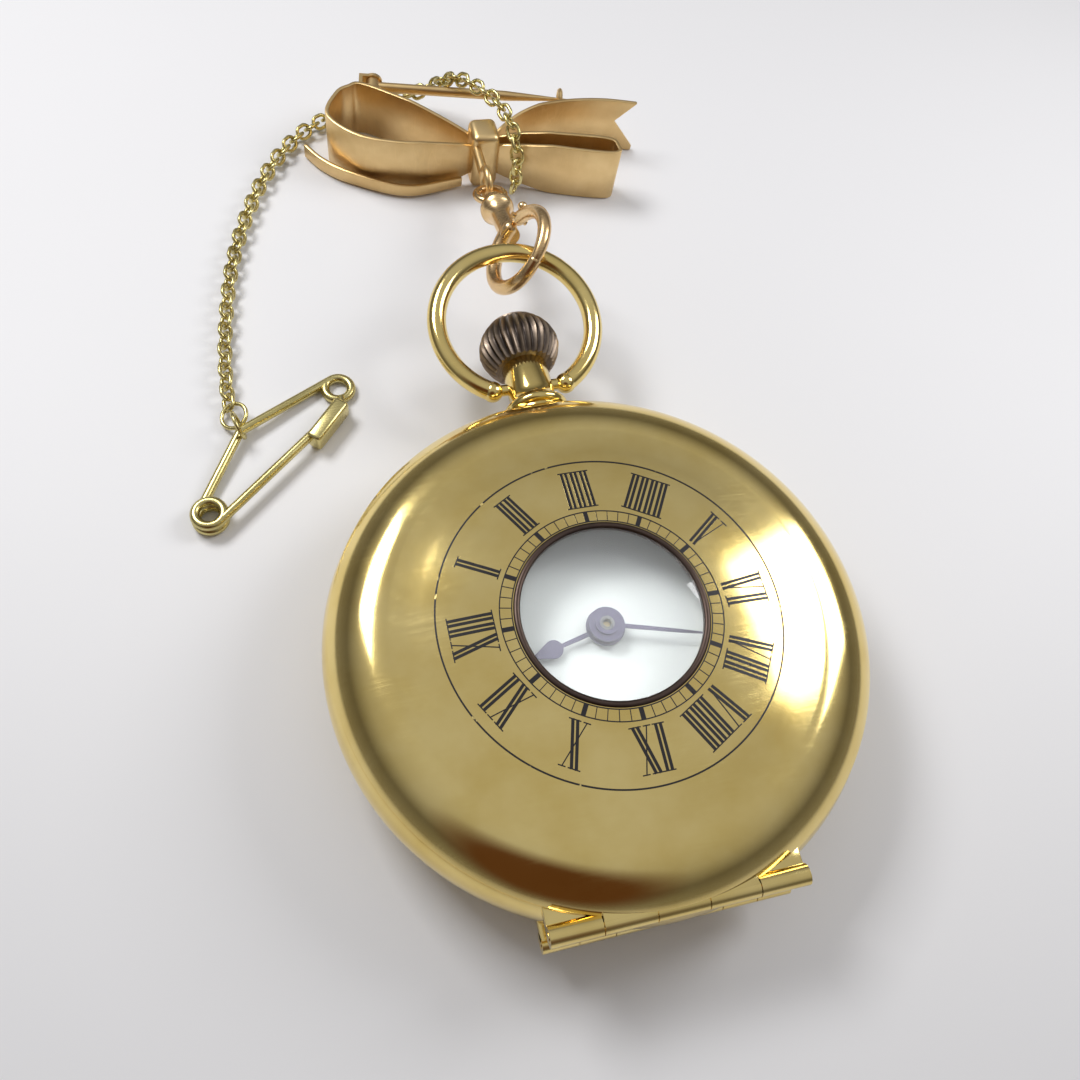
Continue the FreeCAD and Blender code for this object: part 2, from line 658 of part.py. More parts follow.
def bezel_and_crystal():
    """The bezel that snaps into the band, and the crystal over the hands."""
    skirt, flange = BAND_BORE - 0.05, D.bezel_flange_radius
    top = BAND_TOP + D.bezel_top
    groove = D.crystal_radius + 0.03
    seat = top - D.crystal_thickness - 0.1
    keep(turned([(D.dial_radius + 0.15, DIAL_BASE), (skirt, DIAL_BASE), (skirt, BAND_TOP), (flange, BAND_TOP),
                 (flange, BAND_TOP + D.bezel_flange_height), (groove + 0.55, top), (groove, top), (groove, seat),
                 (D.crystal_radius - 0.4, seat), (D.crystal_radius - 0.4, DIAL_TOP + 0.05),
                 (D.dial_radius + 0.15, DIAL_TOP + 0.05)]), "bezel")
    radius, rise = D.crystal_radius, D.crystal_rise
    bend = (radius * radius + rise * rise) / (rise * 2)
    keep(turned([(0, seat + rise, -bend), (radius, seat), (radius, seat + D.crystal_thickness, bend),
                 (0, seat + D.crystal_thickness + rise)]), "crystal")


def ring_points(radius, angles):
    """Points on a circle about the origin, at angles in degrees."""
    return [Vector(radius * math.cos(math.radians(a)), radius * math.sin(math.radians(a)), 0) for a in angles]


def toothed_outline(teeth, module, phase, root=1.2, tip=0.85, lean=0.0):
    """The closed outline of a toothed wheel, with one tooth centred on the phase angle."""
    step = 360.0 / teeth
    pitch = module * teeth / 2
    foot, crest = pitch - root * module, pitch + tip * module
    points = []
    for i in range(int(teeth)):
        middle = phase + i * step
        points += ring_points(foot, [middle - 0.29 * step])
        points += ring_points(crest, [middle + (lean - 0.12) * step, middle + (lean + 0.12) * step])
        points += ring_points(foot, [middle + 0.29 * step])
    return Part.makePolygon(points + points[:1])


def spoke_windows(hub, rim, spokes, width):
    """The openings between a wheel's spokes."""
    windows = []
    for i in range(spokes):
        start, end = i * 360.0 / spokes, (i + 1) * 360.0 / spokes
        inner = math.degrees(width / 2 / hub)
        outer = math.degrees(width / 2 / rim)
        middle = (start + end) / 2
        a = ring_points(hub, [start + inner, middle, end - inner])
        b = ring_points(rim, [end - outer, middle + 0.25 * (end - start), middle, middle - 0.25 * (end - start),
                              start + outer])
        windows.append(Part.makePolygon(a + b + a[:1]))
    return windows


def slab(wires, thickness, base):
    """A flat slab from an outer wire and its holes."""
    face = Part.makeFace(wires, "Part::FaceMakerBullseye")
    face.translate(Vector(0, 0, base))
    return face.extrude(Vector(0, 0, thickness))


def hoop(radius, wire, centre, normal, first=None, sweep=360.0):
    """A ring of eight-sided wire about a centre, or a part of one that starts in a direction."""
    axis = Vector(*normal).normalize()
    first = Vector(*first) if first is not None else axis.cross(Vector(0.3, 0.5, 0.81))
    first = (first - axis * first.dot(axis)).normalize()
    corners = []
    for i in range(8):
        turn = math.radians(22.5 + 45 * i)
        corners.append(centre + first * (radius + wire * math.cos(turn)) + axis * (wire * math.sin(turn)))
    return Part.Face(Part.makePolygon(corners + corners[:1])).revolve(centre, axis, sweep)


def bar(wire, start, end):
    """A straight eight-sided wire between two points, flat side up."""
    way = (end - start).normalize()
    side = Vector(0, 0, 1).cross(way).normalize()
    up = way.cross(side)
    corners = []
    for i in range(8):
        turn = math.radians(22.5 + 45 * i)
        corners.append(start + side * (wire * math.cos(turn)) + up * (wire * math.sin(turn)))
    return Part.Face(Part.makePolygon(corners + corners[:1])).extrude(end - start)


def knob(radius, centre, axis=(0, 0, 1)):
    """A small ball with flattened bands."""
    way = Vector(*axis).normalize()
    side = way.cross(Vector(0.3, 0.5, 0.81)).normalize()
    corners = [centre + way * (radius * math.cos(math.radians(a))) + side * (radius * math.sin(math.radians(a)))
               for a in (0, 30, 60, 90, 120, 150, 180)]
    return Part.Face(Part.makePolygon(corners + corners[:1])).revolve(centre, way, 360)


def rod(radius, start, end):
    return Part.makeCylinder(radius, end - start, Vector(0, 0, start))


def arbor(start, end):
    """A shaft with a pivot at each end."""
    pivot, reach = D.pivot_radius.value, 0.3
    return [rod(D.arbor_radius.value, start, end), rod(pivot, start - reach, start), rod(pivot, end, end + reach)]


def joined(shapes):
    """Solids fused into one."""
    return shapes[0].multiFuse(shapes[1:]).removeSplitter()


def seated(shape, centre, label, height=0):
    """Keep a piece that turns on a bound centre."""
    return keep(place(feature(shape), (centre[0], centre[1], height)), label)


def line_angle(start, end):
    """The direction in degrees from one centre to another."""
    return math.degrees(math.atan2(number(end[1]) - number(start[1]), number(end[0]) - number(start[0])))


def gap_phase(teeth, angle):
    """The phase that turns a gap between teeth to an angle."""
    return angle + 180.0 / teeth


CENTRE = (D.dial_hole * 0, D.dial_hole * 0)
BARREL_DISTANCE = D.barrel_module * (D.barrel_teeth + D.centre_pinion_leaves) / 2
WINDING_DISTANCE = D.winding_module * (D.crown_wheel_teeth + D.ratchet_teeth) / 2
BARREL_Y = (BARREL_DISTANCE * BARREL_DISTANCE - WINDING_DISTANCE * WINDING_DISTANCE
            + D.crown_wheel_distance * D.crown_wheel_distance) / (D.crown_wheel_distance * 2)
BARREL = (-root(BARREL_DISTANCE * BARREL_DISTANCE - BARREL_Y * BARREL_Y), BARREL_Y)
CROWN_WHEEL = (CENTRE[0], D.crown_wheel_distance)
THIRD = bearing_point(CENTRE, D.centre_module * (D.centre_teeth + D.third_pinion_leaves) / 2, D.third_bearing)
FOURTH = bearing_point(THIRD, D.third_module * (D.third_teeth + D.fourth_pinion_leaves) / 2, D.fourth_bearing)
ESCAPE = bearing_point(FOURTH, D.fourth_module * (D.fourth_teeth + D.escape_pinion_leaves) / 2, D.escape_bearing)
FORK = bearing_point(ESCAPE, D.escape_to_fork, D.balance_bearing)
BALANCE = bearing_point(FORK, D.fork_to_balance, D.balance_bearing)
MINUTE_WHEEL = bearing_point(CENTRE, D.motion_module * (D.cannon_leaves + D.minute_wheel_teeth) / 2, -35.0)

CENTRE_WHEEL_BASE = BRIDGE_TOP + 0.32
FOURTH_WHEEL_BASE = BRIDGE_TOP + 0.62
THIRD_WHEEL_BASE = PLATE_BASE - 0.75
FORK_BASE = PLATE_BASE - 0.7
BARREL_TOP = PLATE_BASE - 0.1
BARREL_BASE = BARREL_TOP - D.barrel_height
WINDING_TOP = BRIDGE_BASE - 0.07
WINDING_BASE = WINDING_TOP - D.winding_wheel_thickness
SCREW_HEAD = 0.25

BARREL_FEET = ((-10.6, 6.0), (-11.5, 0.3), (2.2, 12.0), (-3.4, 11.4))
TRAIN_FEET = ((-7.5, -9.3), (3.6, -11.3), (11.2, -4.9))
BALANCE_FOOT = (8.75, 8.3)
PIVOTS = (THIRD, FOURTH, ESCAPE)


def foot(at):
    return cylinder(D.bridge_foot_radius, D.train_space, (at[0], at[1], BRIDGE_TOP))


def shank(at):
    """The room of a bridge screw's shank."""
    return cylinder(0.25, D.bridge_height + D.train_space - 0.6, (at[0], at[1], BRIDGE_BASE))


def jewel_seat(at):
    """The stepped hole of a jewel in a bridge."""
    return fuse(disc(D.jewel_radius, D.jewel_height, BRIDGE_TOP - D.jewel_height, *at),
                disc(D.arbor_radius + 0.1, D.bridge_height, BRIDGE_BASE, *at))


def main_plate():
    """The main plate, its dial rim, its slot for the stem and the stud of the minute wheel."""
    hole = D.arbor_radius + D.running_gap
    rim = D.dial_radius + 0.05
    plate = turned([(hole, PLATE_BASE), (D.plate_radius, PLATE_BASE), (D.plate_radius, PLATE_FLANGE_BASE),
                    (D.plate_flange_radius, PLATE_FLANGE_BASE), (D.plate_flange_radius, PLATE_TOP),
                    (rim, PLATE_TOP), (rim, DIAL_BASE), (rim - 0.75, DIAL_BASE), (rim - 0.75, PLATE_TOP),
                    (hole, PLATE_TOP)])
    stud = disc(D.arbor_radius, 0.5, PLATE_TOP, *MINUTE_WHEEL)
    slot_half = D.winding_pinion_radius + 0.15
    slot = box((-slot_half, D.crown_wheel_distance - 1.5, PLATE_BASE - 1), slot_half * 2,
               D.plate_flange_radius, D.plate_over_stem * 2 + 2)
    holes = [disc(D.pivot_radius + D.pivot_gap, 2, PLATE_BASE - 0.5, *at) for at in (*PIVOTS, FORK, BALANCE)]
    holes.append(disc(0.44, 2, PLATE_BASE - 0.5, *BARREL))
    keep(cut(fuse(plate, stud), slot, *holes, *[case_screw_shank(at) for at in CASE_SCREWS],
             *[dial_foot(at) for at in DIAL_FEET]), "main_plate")


CASE_SCREWS = [bearing_point(CENTRE, D.plate_radius - 0.3, angle) for angle in (20.0, 200.0)]
DIAL_FEET = [bearing_point(CENTRE, D.dial_radius - 0.33, angle) for angle in (45.0, 225.0)]


def case_screw_shank(at):
    return disc(0.2, 0.5, PLATE_BASE, *at)


def dial_foot(at):
    return disc(0.22, 0.5, DIAL_BASE - 0.5, *at)


def bridges():
    """The barrel bridge, the train bridge, the balance cock and the pallet cock."""
    radius = D.bridge_radius
    whole = disc(radius, D.bridge_height, BRIDGE_BASE)
    span = radius * 2
    barrel_part = common(whole, box((-radius - 1, -1.1, BRIDGE_BASE), radius + 3.9, span, D.bridge_height))
    barrel_cuts = [disc(1.75, 2, BRIDGE_BASE - 0.5, *CENTRE),
                   disc(D.face_teeth_radius + D.running_gap, 2, BRIDGE_BASE - 0.5, *CROWN_WHEEL),
                   disc(0.7 + D.running_gap, 2, BRIDGE_BASE - 0.5, *BARREL)]
    keep(cut(fuse(barrel_part, *[foot(at) for at in BARREL_FEET]), *barrel_cuts,
             *[shank(at) for at in BARREL_FEET]), "barrel_bridge")
    lower = common(disc(radius, D.bridge_height, BRIDGE_BASE),
                   box((-radius, -radius - 1, BRIDGE_BASE), span, radius - 0.4, D.bridge_height))
    tip = box((-1.5, -2, BRIDGE_BASE), 3, 2, D.bridge_height)
    train = fuse(lower, tip, disc(1.5, D.bridge_height, BRIDGE_BASE, *CENTRE), *[foot(at) for at in TRAIN_FEET])
    room = disc(D.balance_radius + 0.35, 2, BRIDGE_BASE - 0.5, *BALANCE)
    seats = [jewel_seat(at) for at in PIVOTS]
    middle = disc(D.pivot_radius + D.pivot_gap, 2, BRIDGE_BASE - 0.5, *CENTRE)
    keep(cut(train, room, middle, *seats, *[shank(at) for at in TRAIN_FEET]), "train_bridge")
    balance_cock()
    pallet_cock()


COCK_HEIGHT = 0.5


def balance_cock():
    """The cock over the balance, on one foot."""
    x, y = BALANCE_FOOT
    reach = bearing_angle = line_angle(BALANCE_FOOT, BALANCE)
    length = math.hypot(number(BALANCE[0]) - x, number(BALANCE[1]) - y)
    strap = Part.makeBox(length, 1.9, COCK_HEIGHT, Vector(0, -0.95, BRIDGE_BASE.value))
    tip = Part.makeCylinder(1.25, COCK_HEIGHT, Vector(length, 0, BRIDGE_BASE.value))
    root_disc = Part.makeCylinder(1.2, COCK_HEIGHT, Vector(0, 0, BRIDGE_BASE.value))
    arm = place(feature(joined([strap, tip, root_disc])), (x, y, 0), Z_AXIS, bearing_angle)
    post = cylinder(D.bridge_foot_radius, PLATE_BASE - BRIDGE_BASE, (x, y, BRIDGE_BASE))
    jewel = disc(D.jewel_radius, D.jewel_height, BRIDGE_BASE + COCK_HEIGHT - D.jewel_height, *BALANCE)
    bore = disc(D.arbor_radius + 0.1, COCK_HEIGHT, BRIDGE_BASE, *BALANCE)
    keep(cut(fuse(arm, post), jewel, bore, shank(BALANCE_FOOT)), "balance_cock")


def pallet_cock():
    """The small cock over the pallet fork."""
    x, y = number(FORK[0]), number(FORK[1])
    base, height = FORK_BASE.value - 0.75, 0.4
    strap = Part.makeBox(2.9, 1.1, height, Vector(0, -0.55, base))
    end = Part.makeCylinder(0.6, height, Vector(0, 0, base))
    post = Part.makeCylinder(0.6, PLATE_BASE.value - base, Vector(2.9, 0, base))
    hole = Part.makeCylinder(D.pivot_radius.value + D.pivot_gap.value, 2, Vector(0, 0, base - 0.5))
    shape = joined([strap, end, post]).cut(hole)
    keep(place(feature(shape), (FORK[0], FORK[1], 0), Z_AXIS, 8.0), "pallet_cock")


def jewels_and_screws():
    """The bridge jewels, the bridge screws and the case screws."""
    stones = []
    for at, top in [(at, BRIDGE_TOP) for at in PIVOTS] + [(BALANCE, BRIDGE_BASE + COCK_HEIGHT)]:
        stone = disc(D.jewel_radius, D.jewel_height, top - D.jewel_height, *at)
        stones.append(cut(stone, disc(D.pivot_radius + D.pivot_gap, 1, top - 0.5, *at)))
    keep(group(*stones), "jewels")
    screws = []
    for at in (*BARREL_FEET, *TRAIN_FEET, BALANCE_FOOT):
        screws.append(fuse(shank(at), cylinder(0.45, SCREW_HEAD, (at[0], at[1], BRIDGE_BASE - SCREW_HEAD))))
    keep(group(*screws), "bridge_screws")
    case_screws = [fuse(case_screw_shank(at), disc(0.6, SCREW_HEAD, PLATE_BASE - SCREW_HEAD, *at))
                   for at in CASE_SCREWS]
    keep(group(*case_screws), "case_screws")


def dial():
    """The enamel dial and its two feet."""
    keep(cut(fuse(disc(D.dial_radius, D.dial_thickness, DIAL_BASE), *[dial_foot(at) for at in DIAL_FEET]),
             disc(D.dial_hole, 1, DIAL_BASE - 0.2)), "dial")


def barrel_and_spring():
    """The toothed barrel, its mainspring, and the arbor with the ratchet wheel."""
    module, teeth = D.barrel_module.value, D.barrel_teeth.value
    outer = module * teeth / 2 - 1.3 * module
    base, top, wall = BARREL_BASE.value, BARREL_TOP.value, D.barrel_wall.value
    core = 0.7
    bore = core + 0.05
    drum = rod(outer, base, top).cut(rod(outer - wall, base + wall, top - wall)).cut(rod(bore, base - 1, top + 1))
    toward = line_angle(BARREL, CENTRE)
    crown = slab([toothed_outline(teeth, module, toward)], 0.35, top - 0.35).cut(rod(outer - 0.05, base, top + 1))
    seated(joined([drum, crown]), BARREL, "barrel")
    inner, outer_turn, strip = 1.28, outer - wall - 0.06, 0.14
    spring = spiral(inner, outer_turn - strip, D.mainspring_turns.value, strip)
    seated(slab([spring], top - base - 2 * wall - 0.1, base + wall + 0.05), BARREL, "mainspring")
    w_base, w_top = WINDING_BASE.value, WINDING_TOP.value
    module, teeth = D.winding_module.value, D.ratchet_teeth.value
    phase = line_angle(BARREL, CROWN_WHEEL)
    wheel = slab([toothed_outline(teeth, module, phase, lean=0.1)], w_top - w_base, w_base)
    shaft = rod(core, w_base, base + wall + 0.05)
    hub = rod(1.2, base + wall + 0.05, top - wall - 0.05)
    stem = rod(0.4, top - wall - 0.05, PLATE_BASE.value + 0.4)
    seated(joined([wheel, shaft, hub, stem]), BARREL, "ratchet_wheel")


def spiral(inner, outer, turns, strip):
    """The outline of a flat coiled strip."""
    count = int(turns * 14)
    middle = [(inner + (outer - inner) * i / count, 360.0 * turns * i / count) for i in range(count + 1)]
    near = [ring_points(radius, [angle])[0] for radius, angle in middle]
    far = [ring_points(radius + strip, [angle])[0] for radius, angle in reversed(middle)]
    return Part.makePolygon(near + far + near[:1])


def crown_wheel():
    """The crown wheel: spur teeth for the ratchet wheel, face teeth for the winding pinion."""
    module, teeth = D.winding_module.value, D.crown_wheel_teeth.value
    base, top = WINDING_BASE.value, WINDING_TOP.value
    phase = gap_phase(teeth, line_angle(CROWN_WHEEL, BARREL))
    spur = slab([toothed_outline(teeth, module, phase)], top - base, base)
    face_top = STEM_HEIGHT.value - D.winding_pinion_radius.value + 0.1
    outer, inner = D.face_teeth_radius.value, D.face_teeth_radius.value - 0.65
    hub = rod(outer, top, face_top - 0.3).cut(rod(0.6, base, face_top))
    step = 360.0 / D.face_teeth.value
    teeth_up = []
    for i in range(int(D.face_teeth.value)):
        middle = 90 + (i + 0.5) * step
        a = ring_points(outer, [middle - 0.25 * step, middle + 0.25 * step])
        b = ring_points(inner, [middle + 0.25 * step, middle - 0.25 * step])
        teeth_up.append(slab([Part.makePolygon(a + b + a[:1])], 0.3, face_top - 0.3))
    seated(joined([spur, hub, *teeth_up]), CROWN_WHEEL, "crown_wheel")


def click():
    """The click that holds the ratchet wheel, and its blade spring."""
    base = WINDING_BASE.value
    reach = D.ratchet_teeth.value * D.winding_module.value / 2 + 0.2
    centre = ring_points(reach + 1.5, [204.0])[0]
    tip = ring_points(reach - 0.03, [196.0])[0]
    back = ring_points(reach + 0.9, [193.0])[0]
    body = Part.makePolygon([tip, centre + Vector(0.35, -0.35, 0), centre + Vector(-0.35, 0.3, 0), back, tip])
    pawl = slab([body], D.winding_wheel_thickness.value, base)
    hub = Part.makeCylinder(0.5, D.winding_wheel_thickness.value, Vector(centre.x, centre.y, base))
    post = Part.makeCylinder(0.25, 2, Vector(centre.x, centre.y, base - 0.5))
    seated(joined([pawl, hub]).cut(post), BARREL, "click")
    shaft = Part.makeCylinder(0.22, (BRIDGE_BASE - WINDING_BASE).value, Vector(centre.x, centre.y, base))
    seated(shaft, BARREL, "click_post")


def train():
    """The going train, from the centre wheel to the escape wheel."""
    thick = D.wheel_thickness.value
    plate, bridge = PLATE_BASE.value - 0.05, BRIDGE_TOP.value + 0.05
    leaves = D.centre_pinion_leaves.value
    phase = gap_phase(leaves, line_angle(CENTRE, BARREL))
    pinion = slab([toothed_outline(leaves, D.barrel_module.value, phase)], plate - 0.1 - BARREL_BASE.value - 0.2,
                  BARREL_BASE.value + 0.2)
    wheel = train_wheel(D.centre_teeth, D.centre_module, line_angle(CENTRE, THIRD), CENTRE_WHEEL_BASE)
    shaft = [rod(D.arbor_radius.value, bridge, DIAL_TOP.value + 0.8), rod(D.pivot_radius.value, bridge - 0.35, bridge)]
    seated(joined([wheel, pinion, *shaft]), CENTRE, "centre_wheel")
    rows = ((THIRD, "third_wheel", D.third_teeth, D.third_module, FOURTH, THIRD_WHEEL_BASE,
             D.third_pinion_leaves, D.centre_module, CENTRE, CENTRE_WHEEL_BASE),
            (FOURTH, "fourth_wheel", D.fourth_teeth, D.fourth_module, ESCAPE, FOURTH_WHEEL_BASE,
             D.fourth_pinion_leaves, D.third_module, THIRD, THIRD_WHEEL_BASE))
    for at, label, teeth, module, follower, base, leaves, leaf_module, leader, mesh in rows:
        wheel = train_wheel(teeth, module, line_angle(at, follower), base)
        phase = gap_phase(leaves.value, line_angle(at, leader))
        pinion = slab([toothed_outline(leaves.value, leaf_module.value, phase)], thick + 0.1, mesh.value - 0.05)
        seated(joined([wheel, pinion, *arbor(bridge, plate)]), at, label)
    phase = gap_phase(D.escape_pinion_leaves.value, line_angle(ESCAPE, FOURTH))
    pinion = slab([toothed_outline(D.escape_pinion_leaves.value, D.fourth_module.value, phase)], thick + 0.1,
                  FOURTH_WHEEL_BASE.value - 0.05)
    wheel = slab([escape_outline(), *spoke_windows(0.45, 1.2, 4, 0.24)], thick, FORK_BASE.value)
    seated(joined([wheel, pinion, *arbor(bridge, plate)]), ESCAPE, "escape_wheel")


def train_wheel(teeth, module, phase, base):
    """A spoked train wheel."""
    rim = teeth.value * module.value / 2 - 1.2 * module.value - 0.35
    outline = toothed_outline(teeth.value, module.value, phase)
    return slab([outline, *spoke_windows(0.85, rim, 4, 0.4)], D.wheel_thickness.value, base.value)


def escape_outline():
    """Long slanted teeth, as an escape wheel has."""
    points = []
    tip, foot = D.escape_radius.value, D.escape_radius.value - 0.42
    step = 360.0 / D.escape_teeth.value
    for i in range(int(D.escape_teeth.value)):
        middle = i * step
        points += ring_points(foot, [middle - 0.1 * step])
        points += ring_points(tip, [middle + 0.16 * step, middle + 0.28 * step])
        points += ring_points(foot, [middle + 0.3 * step])
    return Part.makePolygon(points + points[:1])


def pallet_fork():
    """The lever with its two pallets and the notch for the balance's pin."""
    away = D.balance_bearing.value
    reach = D.fork_to_balance.value - 0.32
    tine = Part.makePolygon([Vector(0, 0.14, 0), Vector(reach - 0.5, 0.12, 0), Vector(reach - 0.3, 0.3, 0),
                             Vector(reach, 0.3, 0), Vector(reach, 0.1, 0), Vector(reach - 0.25, 0.1, 0),
                             Vector(reach - 0.25, -0.1, 0), Vector(reach, -0.1, 0), Vector(reach, -0.3, 0),
                             Vector(reach - 0.3, -0.3, 0), Vector(reach - 0.5, -0.12, 0), Vector(0, -0.14, 0),
                             Vector(0, 0.14, 0)])
    distance, graze = D.escape_to_fork.value, D.escape_radius.value + 0.05
    pieces = [slab([tine], D.wheel_thickness.value, FORK_BASE.value), rod(0.32, FORK_BASE.value,
                                                                          FORK_BASE.value + D.wheel_thickness.value)]
    for side in (-1, 1):
        swing = math.radians(42)
        x, y = -(distance - graze * math.cos(swing)), side * graze * math.sin(swing)
        arm = Part.makePolygon([Vector(0, side * 0.1, 0), Vector(x + 0.1, y + side * 0.3, 0),
                                Vector(x - 0.25, y + side * 0.3, 0), Vector(x, y, 0), Vector(x + 0.3, y - side * 0.1, 0),
                                Vector(-0.1, -side * 0.2, 0), Vector(0, side * 0.1, 0)])
        pieces.append(slab([arm], D.wheel_thickness.value, FORK_BASE.value))
    start = FORK_BASE.value - 0.28
    pieces.append(rod(0.18, start, PLATE_BASE.value - 0.05))
    pieces += [rod(D.pivot_radius.value, start - 0.35, start),
               rod(D.pivot_radius.value, PLATE_BASE.value - 0.05, PLATE_BASE.value + 0.25)]
    piece = place(feature(joined(pieces)), (FORK[0], FORK[1], 0), Z_AXIS, away)
    keep(piece, "pallet_fork")


BALANCE_BASE = BRIDGE_BASE + COCK_HEIGHT + 0.25


def balance():
    """The balance with its staff and roller, and the flat hairspring above it."""
    outer, inner = D.balance_radius.value, D.balance_radius.value - D.balance_rim.value
    base = BALANCE_BASE.value
    rim = rod(outer, base, base + 0.35).cut(rod(inner, base - 1, base + 1))
    arms = Part.makeBox(2 * inner + 0.2, 0.45, 0.25, Vector(-inner - 0.1, -0.225, base))
    staff_end = PLATE_BASE.value - 0.05
    start = BRIDGE_BASE.value + COCK_HEIGHT + 0.04
    staff = [rod(0.2, start, staff_end), rod(D.pivot_radius.value, start - 0.25, start),
             rod(D.pivot_radius.value, staff_end, staff_end + 0.3)]
    roller_base = FORK_BASE.value + D.wheel_thickness.value + 0.08
    roller = rod(0.6, roller_base, roller_base + 0.15)
    toward = math.radians(D.balance_bearing.value + 180)
    pin = Part.makeCylinder(0.07, 0.3, Vector(0.45 * math.cos(toward), 0.45 * math.sin(toward), roller_base - 0.22))
    seated(joined([rim, arms, *staff, roller, pin]), BALANCE, "balance_wheel")
    coil = spiral(0.3, D.hairspring_radius.value, D.hairspring_turns.value, 0.08)
    seated(slab([coil], 0.12, base - 0.16), BALANCE, "hairspring")


def motion_work():
    """The cannon pinion, minute wheel and hour wheel under the dial."""
    module, thick = D.motion_module.value, D.wheel_thickness.value
    floor = PLATE_TOP.value + 0.08
    leaves = D.cannon_leaves.value
    bore = D.arbor_radius.value + D.running_gap.value
    toward = line_angle(CENTRE, MINUTE_WHEEL)
    top = CANNON_TOP.value
    pinion = joined([slab([toothed_outline(leaves, module, gap_phase(leaves, toward))], thick + 0.05, floor),
                     rod(CANNON_RADIUS, floor, top)]).cut(rod(bore, floor - 1, top + 1))
    seated(pinion, CENTRE, "cannon_pinion")
    mesh = floor + thick + 0.1
    wheel = slab([toothed_outline(D.minute_wheel_teeth.value, module, toward + 180)], thick, floor + 0.02)
    leaves = D.minute_pinion_leaves.value
    pinion = slab([toothed_outline(leaves, module, gap_phase(leaves, toward + 180))], 0.28, floor + 0.02 + thick)
    seated(joined([wheel, pinion]).cut(rod(bore, floor - 1, top)), MINUTE_WHEEL, "minute_wheel")
    wheel = slab([toothed_outline(D.hour_wheel_teeth.value, module, toward)], thick, mesh + 0.02)
    pipe = rod(HOUR_PIPE_RADIUS, mesh + 0.02, HOUR_HAND_BASE.value + D.hand_thickness.value + 0.05)
    seated(joined([wheel, pipe]).cut(rod(CANNON_RADIUS + D.running_gap.value, floor, top)), CENTRE, "hour_wheel")


CANNON_RADIUS = 0.45
HOUR_PIPE_RADIUS = 0.8
HOUR_HAND_BASE = DIAL_TOP + 0.38
MINUTE_HAND_BASE = HOUR_HAND_BASE + 0.42
CANNON_TOP = MINUTE_HAND_BASE + 0.32


def hands():
    """The spade hour hand and the slender minute hand."""
    thick = D.hand_thickness.value
    base, length = HOUR_HAND_BASE.value, D.hour_hand_length.value
    bulb = length * 0.7
    shaft = Part.makePolygon([Vector(0, 0.16, 0), Vector(bulb, 0.11, 0), Vector(bulb, -0.11, 0), Vector(0, -0.16, 0),
                              Vector(0, 0.16, 0)])
    point = Part.makePolygon([Vector(bulb + 0.3, 0.5, 0), Vector(length, 0, 0), Vector(bulb + 0.3, -0.5, 0),
                              Vector(bulb - 0.2, 0, 0), Vector(bulb + 0.3, 0.5, 0)])
    pieces = [slab([shaft], thick, base), slab([point], thick, base),
              Part.makeCylinder(0.58, thick, Vector(bulb, 0, base)), rod(1.2, base, base + thick)]
    hand = joined(pieces).cut(rod(HOUR_PIPE_RADIUS, base - 1, base + 1))
    keep(place(feature(hand), (0, 0, 0), Z_AXIS, D.hour_hand_angle), "hour_hand")
    base, length = MINUTE_HAND_BASE.value, D.minute_hand_length.value
    shaft = Part.makePolygon([Vector(0, 0.14, 0), Vector(length * 0.75, 0.1, 0), Vector(length, 0.03, 0),
                              Vector(length, -0.03, 0), Vector(length * 0.75, -0.1, 0), Vector(0, -0.14, 0),
                              Vector(0, 0.14, 0)])
    pieces = [slab([shaft], thick, base), rod(1.1, base, base + thick + 0.03), rod(0.72, base, base + 0.3)]
    hand = joined(pieces).cut(rod(CANNON_RADIUS, base - 1, base + 1))
    keep(place(feature(hand), (0, 0, 0), Z_AXIS, D.minute_hand_angle), "minute_hand")


def cover_springs():
    """The spring that locks the front cover and the one that lifts it, curled inside the band."""
    outer, wall, height = BAND_BORE - 0.35, 0.5, 0.8
    base = D.band_bottom + 0.35
    for label, start, sweep in (("lock_spring", 52.0, 76.0), ("lift_spring", 232.0, 76.0)):
        shape = primitive("Cylinder", (0, 0, base), Z_AXIS, start, Radius=outer, Height=height, Angle=sweep)
        inside = primitive("Cylinder", (0, 0, base - 0.5), Z_AXIS, start - 5, Radius=outer - wall, Height=height + 1,
                           Angle=sweep + 10)
        keep(cut(shape, inside), label)


